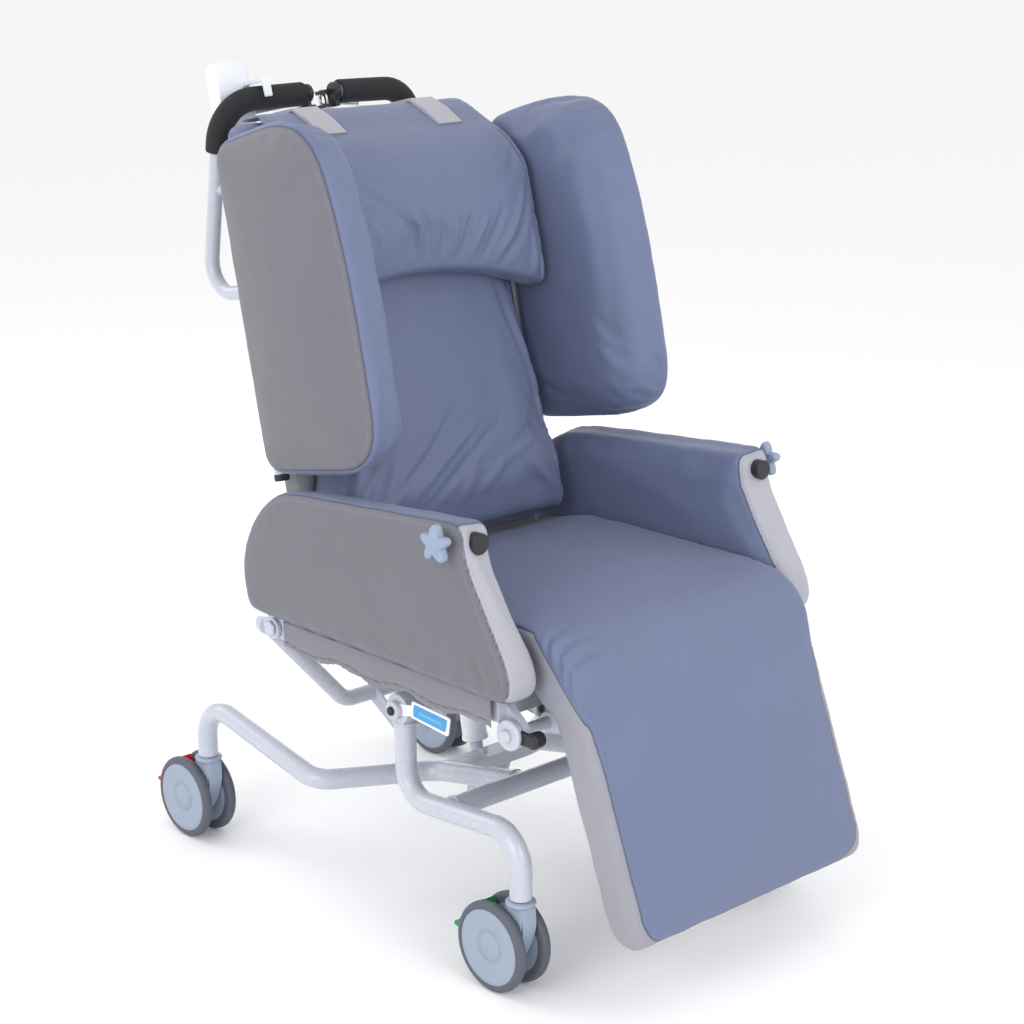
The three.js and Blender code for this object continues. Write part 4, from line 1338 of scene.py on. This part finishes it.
def legrest_frame():
    form = Form("legrest_bars", "legrest", LEG).use(white_paint)
    form.bar((-252, 0, 0), (252, 0, 0), 8)
    form.block((-194, 194), (-43.6, -26), (-285, -269))
    for _, side in SIDES:
        form.block(mirrored(side, 178, 194), (-43.6, -26), (-285, 6))
        form.slab(round_about((0, 0, 14), (-31, -8, 12)), side * 180, side * 192)
        form.turned(
            [(0, 9), (0, 18.6), (1.6, 20), (5, 20), (6.5, 21), (10.5, 21), (12, 19.5), (12.6, 10)],
            (side * 251, 0, 0), (side, 0, 0), 36,
        )
        form.use(plate_silver).bar((side * 263, 0, 0), (side * 269.6, 0, 0), 8.6, soft=2)
        form.use(black_plastic).slab(
            round_about((0, 0, 11), LATCH_KNOB + (8,)), side * 252, side * 257,
        )
        form.turned(
            [(0, 8), (0, 9.6), (1.5, 11), (12, 11), (18, 10), (19.4, 8), (19.4, 3)],
            (side * 256, *LATCH_KNOB), (-side, 0, 0), 32,
        )
        form.use(white_paint)
    pin = leg_coordinates(-308.5, 319.6)
    fork(form, -80, round_about((*pin, 11), (0, 0, 14)), pin, (12, 17), 6)
    form.finish(1, ["legrest_frame"])


# ---- back -----------------------------------------------------------------------------------
BACK_HINGE = (11.27, -111.3)
DRIVE_TOP = (89.7, 11.5)
HANDLE_LOW = (150, 368)
HANDLE_TOP = (47, 634)
GRIP_START = 566
WING_ROD = (242, -37)
UP = Vector((0, 0, 1))


def back_brackets():
    form = Form("back_brackets", "back", BACK).use(white_paint)
    a, b = DRIVE_TOP
    plate = rounded([
        (-4, b - 12), (-4, 52), (14, 52, 6), (a + 4, b + 13, 12), (a + 13, b - 3, 10),
        (a, b - 12, 8),
    ])
    fork(form, 0, plate, DRIVE_TOP)
    for _, side in SIDES:
        form.slab(round_about((*BACK_HINGE, 16), (-24, -55, 16)), side * 198, side * 210)
        form.bar((side * 200, *BACK_HINGE), (side * 274, *BACK_HINGE), 8)
        form.bar((side * 269.4, *BACK_HINGE), (side * 273.6, *BACK_HINGE), 12, soft=1.5, sides=6)
        for v in (147, 489):
            x, n = side * WING_ROD[0], WING_ROD[1]
            outline = [(side * 205, -12), (side * 205, -51)]
            outline += [(x + side * a, n + b) for a, b in arc((0, 0), 15, range(-90, 91, 15))]
            form.skin([[(p, q, h) for p, q in outline] for h in (v - 4, v + 4)])
            form.turned(
                [(0, 10), (0, 13.5), (1, 14.5), (3, 14.5), (3.6, 13.5), (3.6, 10)], (x, n, v + 4),
                (0, 0, 1),
            )
    form.finish(0.9, ["back_shell"])


def handle(name, side):
    """A push handle with its foam grip and hand lever."""
    form = Form(f"push_handle_tube_{name}", "back", BACK).use(white_paint)
    corners = [
        (side * 180, -2, 360), (side * 180, *HANDLE_LOW, 42), (side * 180, *HANDLE_TOP, 58),
        (side * 22, HANDLE_TOP[0] - 2, HANDLE_TOP[1] + 2),
    ]
    form.tube(corners, 11, 28, 12)
    form.bar((side * 180, 93, 515), (side * 143, -4, 507.4), 8.5)
    weld(form, (side * 176.5, 83.5, 514), (37, 97, 7.6), 8.5, 1.8)
    form.use(black_plastic)
    form.bar((side * 21.5, 45, 636), (side * 31, 45, 636), 14, soft=2, sides=32)
    form.block(mirrored(side, 23, 30), (40, 58), (614, 640))
    for low, high in ((614, 619.4), (634.6, 640)):
        form.block(mirrored(side, 10, 30), (46, 70), (low, high))
    form.screw((side * 16, 63, 640), (0, 0, 1), 3.6, 2, steel)
    form.finish(1, [f"push_handle_{name}"], "white_steel")

    slope = (HANDLE_LOW[0] - HANDLE_TOP[0]) / (HANDLE_TOP[1] - HANDLE_LOW[1])
    out = HANDLE_TOP[0] + (HANDLE_TOP[1] - GRIP_START) * slope
    sleeve = Form(f"grip_sleeve_{name}", "back", BACK).use(foam)
    sleeve.tube(
        [
            (side * 180, out, GRIP_START), (side * 180, *HANDLE_TOP, 58),
            (side * 33, HANDLE_TOP[0] - 1.9, HANDLE_TOP[1] + 1.9),
        ],
        17.5, 32, 12, hollow=11.5,
    )
    sleeve.finish(3.2, [f"foam_grip_{name}"])

    lever = Form(f"lever_blade_{name}", f"lever_{name}", BACK).use(chrome)
    points, tangents = route(
        [(side * 16, 63, 627), (side * 40, 76, 626, 18), (side * 98, 82, 622)], 6,
    )
    rings = []
    for point, tangent in zip(points, tangents):
        wide = 6.5 if point is points[-1] else 5.5
        flat = tangent.cross(UP).normalized()
        rings.append([point + flat * 2.6 * a + UP * wide * b for a, b in turns(16)])
    lever.skin(rings)
    lever.bar((side * 16, 63, 620), (side * 16, 63, 634), 6, soft=1)
    lever.finish(0.8, [f"hand_lever_{name}"])


def rear_details():
    """Pillow straps with their tabs, a plain label and a side flap."""
    straps = Form("pillow_straps", "back", BACK).use(cloth_pale)
    for _, side in SIDES:
        x0, x1 = mirrored(side, 86, 131)
        over = [
            (-110, 561), (-82, 586.5), (-51, 606.4), (-6, 606.8), (4, 603.4), (6.2, 590),
            (5.2, 560), (4.6, 480), (4.6, 388), (2.2, 388), (2.2, 480), (2.8, 560), (3.6, 589),
            (1.4, 600.6), (-6, 602), (-50, 602), (-79, 581.5), (-105, 557),
        ]
        straps.slab(over, x0, x1)
    piece = straps.finish(0.7)
    paint_rest(piece, edge_lines((86, 131)))
    tabs = Form("velcro_tabs", "back", BACK).use(velcro)
    for _, side in SIDES:
        x0, x1 = mirrored(side, 84, 133)
        tabs.board(pane(x0, x1, 377, 389, 0), 2, 4.8)
    tabs.finish(0.5)
    label = Form("plain_label", "back", BACK).use(label_blue)
    label.board(rounded([(-46, 486, 3), (46, 480, 3), (46, 540, 3), (-46, 543, 3)]), 1.6, 3.4)
    label.use(tag_blue)
    label.board([(-42, 522), (42, 519), (42, 534), (-42, 538)], 3.2, 3.8)
    label.finish(0.3)
    flap = Form("side_flap", "back", BACK).use(cloth_grey)
    outline = rounded([
        (-150, 532, 4), (-219, 528, 4), (-219, 500, 3), (-214, 352, 8), (-196, 344, 6),
        (-170, 356, 4),
    ])
    flap.board(outline, 1.4, 3.8)
    flap.board(rounded([(-148, 545, 3), (-219, 540, 3), (-219, 500, 3), (-150, 504, 3)]), 3.4, 5.4)
    piece = flap.finish(0.6)
    paint_rest(piece, lambda p: min(abs(p.x + 213), abs(p.z - 509)))


def edge_lines(edges):
    return lambda p: min(abs(abs(p.x) - (edge + (3 if edge < 100 else -3))) for edge in edges)


def paint_rest(piece, line):
    """Gives a directly made cloth piece the attributes that the cloth shader reads."""
    data = piece.data
    inverse = BACK.inverted()
    data.attributes.new("rest", "FLOAT_VECTOR", "POINT")
    rest, tones, lines, _ = painted(data)
    for i, vertex in enumerate(data.vertices):
        rest.data[i].vector = vertex.co
        tones.data[i].value = -FAR
        lines.data[i].value = line(inverse @ vertex.co)


# ---- wings ----------------------------------------------------------------------------------
def wing_frame(name, side):
    """The rod that a wing turns on, its plates and its end caps."""
    x, n = side * WING_ROD[0], WING_ROD[1]
    form = Form(f"wing_hinge_rod_{name}", f"wing_{name}", BACK).use(white_paint)
    form.bar((x, n, 104), (x, n, 542), 9.5, sides=28)
    for v in (215, 420):
        form.block(sorted((x - 17, x + 17)), (-53.4, n - 8), (v - 30, v + 30))
        for up in (-20, 20):
            form.screw((x + side * 13, n - 8, v + up), (0, 1, 0), 3, 1.8, steel)
        form.use(white_paint)
    form.use(black_plastic)
    form.turned([(0, 8), (0, 10), (2, 11), (9, 11), (10, 9)], (x, n, 95), (0, 0, 1))
    form.turned([(0, 9), (0.6, 11), (12, 11), (20, 10.4), (23, 8)], (x, n, 540), (0, 0, 1))
    form.finish(1, [f"wing_frame_{name}"], "white_steel")


# ---- control box and handset ----------------------------------------------------------------
BOX = (-42, 82, 58, 377)


def control_box():
    x0, x1, low, high = BOX
    case = Form("control_case", "back", BACK).use(case_plastic)
    case.board(pane(x0 + 3, x1 - 3, low + 3, high + 4, 5), 0.8, 35.6)
    foot, top = high + 2, high + 15.8
    grab = [(x0 + 20, foot, 2), (x1 - 20, foot, 2), (x1 - 26, top, 8), (x0 + 26, top, 8)]
    case.board(rounded(grab), 8, 26)
    for i in range(9):
        v = low + 40 + 29 * i
        case.block((x1 - 4, x1 - 1.6), (6, 31), (v, v + 12))
        case.block((x0 + 1.6, x0 + 4), (6, 31), (v, v + 12))
    case.bar((62, 25, low + 4), (62, 25, low - 4), 8.2, soft=1)
    case.bar((62, 25, low - 2), (62, 25, low - 13.6), 6.8, 4.4, sides=20)
    case.finish(1.6, ["control_box"])
    panel = Form("control_front", "back", BACK).use(white_plastic)
    panel.board(pane(x0, x1, low, high, 4), 36.2, 47.6)
    panel.board(pane(x0 + 4, x1 - 4, low + 5, high - 5, 4), 46, 49)
    panel.use(stripe_blue)
    panel.board(pane(4, 58, low + 8, 166, 0), 48.4, 49.6)
    panel.board(pane(4, 58, 169, high - 12, 0), 48.4, 49.6)
    panel.use(plate_silver)
    panel.board(pane(22, 40, low + 12, low + 18, 2), 49.2, 49.8)
    panel.use(white_plastic).turned(
        [(0, 14), (0, 19), (0.6, 19.4), (0.9, 18), (0.9, 12)], (24, 49.2, 142), (0, 1, 0), 40,
    )
    for x in (x0 + 10, x1 - 10):
        for v in (low + 16, 150, 168, 262, high - 22):
            panel.screw((x, 49, v), (0, 1, 0), 2.6, 1, steel)
    panel.finish(1.2, ["control_panel"], "white_plastic")
    button = Form("stop_mushroom", "stop", BACK).use(red_plastic)
    profile = [
        (0, 7.6), (13.6, 7.6), (14, 13.4), (15.4, 14.9), (19, 15), (22.5, 13.8), (25, 10.4),
        (26, 5),
    ]
    button.turned(profile, (24, 42, 142), (0, 1, 0), 44)
    button.finish(0.4, ["stop_button"])


def handset():
    form = Form("handset_shell", "back", HANDSET).use(white_plastic)
    face = [
        (-25, -78, 15), (25, -78, 15), (32.5, 4, 30), (30, 78, 15), (-30, 78, 15), (-32.5, 4, 30),
    ]
    rings = []
    for y, size in (
        (-12.8, 0.88), (-11, 0.95), (-7, 0.985), (0, 1), (7, 0.985), (11, 0.95), (12.9, 0.87),
    ):
        rings.append([(a * size, y, b * (0.35 + 0.65 * size)) for a, b in rounded(face, 6)])
    form.skin(rings)
    hook = rounded(
        [
            (-8, 32), (-8, 44, 6), (-65, 44, 8), (-65, 16, 3), (-61, 16, 3), (-61, 39, 4),
            (-13, 39, 4), (-13, 32),
        ],
        3,
    )
    form.slab(hook, 14, 26)
    relief = []
    for i in range(14):
        size = 6.6 - 0.22 * i
        relief += [
            (i * 2, size), (i * 2 + 1.1, size), (i * 2 + 1.2, size - 1.1),
            (i * 2 + 1.9, size - 1.1),
        ]
    form.turned(relief, (0, 0, -76), (0, 0, -1), 20)
    form.use(stripe_blue).board(
        rounded([(-19, -46, 2), (19, -46, 2), (18, -26, 2), (-18, -26, 2)]), 12, 13.4,
    )
    form.use(plate_silver).board(
        rounded([(-13, -39, 2), (13, -39, 2), (12, -33, 2), (-12, -33, 2)]), 13, 13.7,
    )
    form.use(knob_plastic)
    for v in (58, 33, 8):
        form.board(pane(-5, 5, v - 1, v + 1, 0), 12.4, 13.3)
    form.finish(0.7, ["handset"])
    for row, v in enumerate((58, 33, 8)):
        for column, x in enumerate((-12, 12)):
            mark = "ab"[column]
            key = Form(
                f"key_cap_{row + 1}{mark}", f"key_{row + 1}{mark}", HANDSET,
            ).use(knob_plastic)
            key.turned([(0, 6.6), (3.2, 7), (3.9, 6.6), (4, 5.4)], (x, 10.4, v), (0, 1, 0), 32)
            key.use(white_plastic).turned([(0, 4.4), (0.35, 4.2)], (x, 14.1, v), (0, 1, 0), 24)
            arrow = 1 if column else -1
            key.use(stripe_blue).board(
                [(x - 2, v - arrow), (x + 2, v - arrow), (x, v + 2 * arrow)], 14.3, 14.6,
            )
            key.finish(0, [f"handset_key_{row + 1}{mark}"], "key_plastic")


# ---- drives ---------------------------------------------------------------------------------
def both_sides(at, half):
    """Corners (along, out, radius) on both sides of a drive's line."""
    near = [(*at(s, -out), radius) for s, out, radius in half]
    far = [(*at(s, out), radius) for s, out, radius in half]
    return near[:1] + far + near[:0:-1]


def drive(name, x, top, pin, eye, bore, tube_span, rod, motor_grey):
    """An electric actuator along the line from its housing pin to its rod's eye."""
    end = Vector((pin[0] + eye[0], pin[1] + eye[1]))
    start = Vector(top)
    length = (end - start).length
    along = (end - start).normalized()
    side = Vector((-along.y, along.x))

    def at(s, offset=0):
        point = start + along * s + side * offset
        return point.x, point.y

    first, last = tube_span
    form = Form(f"{name}_actuator_body", f"{name}_drive").use(white_plastic)
    form.slab(round_about((*top, 11), (*at(24), 11)), x - 15, x + 15)
    half = [(18, 22, 9), (first * 0.75, 24, 12), (first + 4, 20, 5)]
    form.slab(rounded(both_sides(at, half)), x - 26, x + 24)
    lid = both_sides(at, [(24, 17, 6), (first - 6, 16, 6)])
    form.slab(rounded(lid), x + 23, x + 26)
    middle = at(first / 2)
    line = (0, along.x, along.y)
    profile = [
        (0, 20), (2, 25), (30, 25.6), (31, 24.8), (33, 24.8), (34, 26), (84, 25.6), (92, 23.6),
        (97, 18), (98, 9),
    ]
    form.turned(profile, (x - 20, *middle), (-1, 0, 0), 48)
    form.use(plate_silver)
    plate = arc(middle, 26.2, range(-24, 41, 8)) + arc(middle, 25.2, range(40, -25, -8))
    form.slab(plate, x - 104, x - 62)
    form.use(steel if motor_grey else white_plastic)
    reach = last - first + 8
    sleeve = [(0, 10), (0, 18.5), (reach, 18.5), (reach, 11)]
    form.turned(sleeve, (x, *at(last - reach)), line, 40)
    form.use(white_plastic if not motor_grey else steel)
    form.turned([(0, 12), (0, 19.6), (6, 19.6), (7, 18), (7, 11)], (x, *at(last - 7)), line, 40)
    form.use(black_plastic)
    form.turned([(0, 11), (0.6, 14), (1.4, 14), (1.6, 11)], (x, *at(last - 0.4)), line, 32)
    for s in (28, first - 10):
        for offset in (-13, 13):
            form.screw((x + 26, *at(s, offset)), (1, 0, 0), 2.8, 1.4, steel)
    form.finish(1.6, [f"{name}_drive_housing"], "white_plastic")

    rod_form = Form(f"{name}_actuator_rod", f"{name}_rod").use(steel if motor_grey else white_paint)
    shaft = length - rod - bore
    profile = [(0, 9), (0.8, 10), (shaft - 6, 10), (shaft - 2, 11.5), (shaft - 0.8, 9)]
    rod_form.turned(profile, (x, *at(rod)), line, 32)
    rings = []
    for half, radius in ((-10, bore + 5), (10, bore + 5), (10, bore), (-10, bore)):
        rings.append([(x + half, end.x + radius * a, end.y + radius * b) for a, b in turns(36)])
    rod_form.skin(rings, closed=True)
    rod_form.finish(0.8, [f"{name}_drive_rod"], "chrome")


base_frame()
for caster_end, stem_y in (("front", -STEM_Y), ("rear", STEM_Y)):
    for side_name, sign in SIDES:
        caster(caster_end, side_name, sign * STEM_X, stem_y)
seat_frame()
seat_pan()
yoke()
arm_fittings()
legrest_frame()
back_brackets()
for side_name, sign in SIDES:
    handle(side_name, sign)
    wing_frame(side_name, sign)
rear_details()
control_box()
handset()
drive("recline", 0, (253, 491), (165, 175), (-2.21, 0.47), 7.6, (95, 200), 168, True)
drive("tilt", 12, (62, 352), (11, 96), (0.98, 0.13), 7.8, (78, 175), 139.5, False)
drive("legrest", -80, (-20, 345), (-308.5, 319.6), (-0.05, -3.93), 9.1, (80, 200), 112, True)

# ---- floor and world ------------------------------------------------------------------------
FLOOR_REACH = 300
WORLD_STRENGTH = 0.95
floor_mesh = bpy.data.meshes.new("floor")
signs = ((-1, -1), (1, -1), (1, 1), (-1, 1))
floor_corners = [(a * FLOOR_REACH, b * FLOOR_REACH, 0) for a, b in signs]
floor_mesh.from_pydata(floor_corners, [], [(0, 1, 2, 3)])
floor_mesh.materials.append(floor_paint)
floor = placed("floor", floor_mesh)
world = bpy.data.worlds.new("studio")
world.use_nodes = True
backdrop = world.node_tree.nodes["Background"]
backdrop.inputs["Color"].default_value = (1, 1, 1, 1)
backdrop.inputs["Strength"].default_value = WORLD_STRENGTH
bpy.context.scene.world = world
bpy.context.scene.view_settings.view_transform = "Standard"
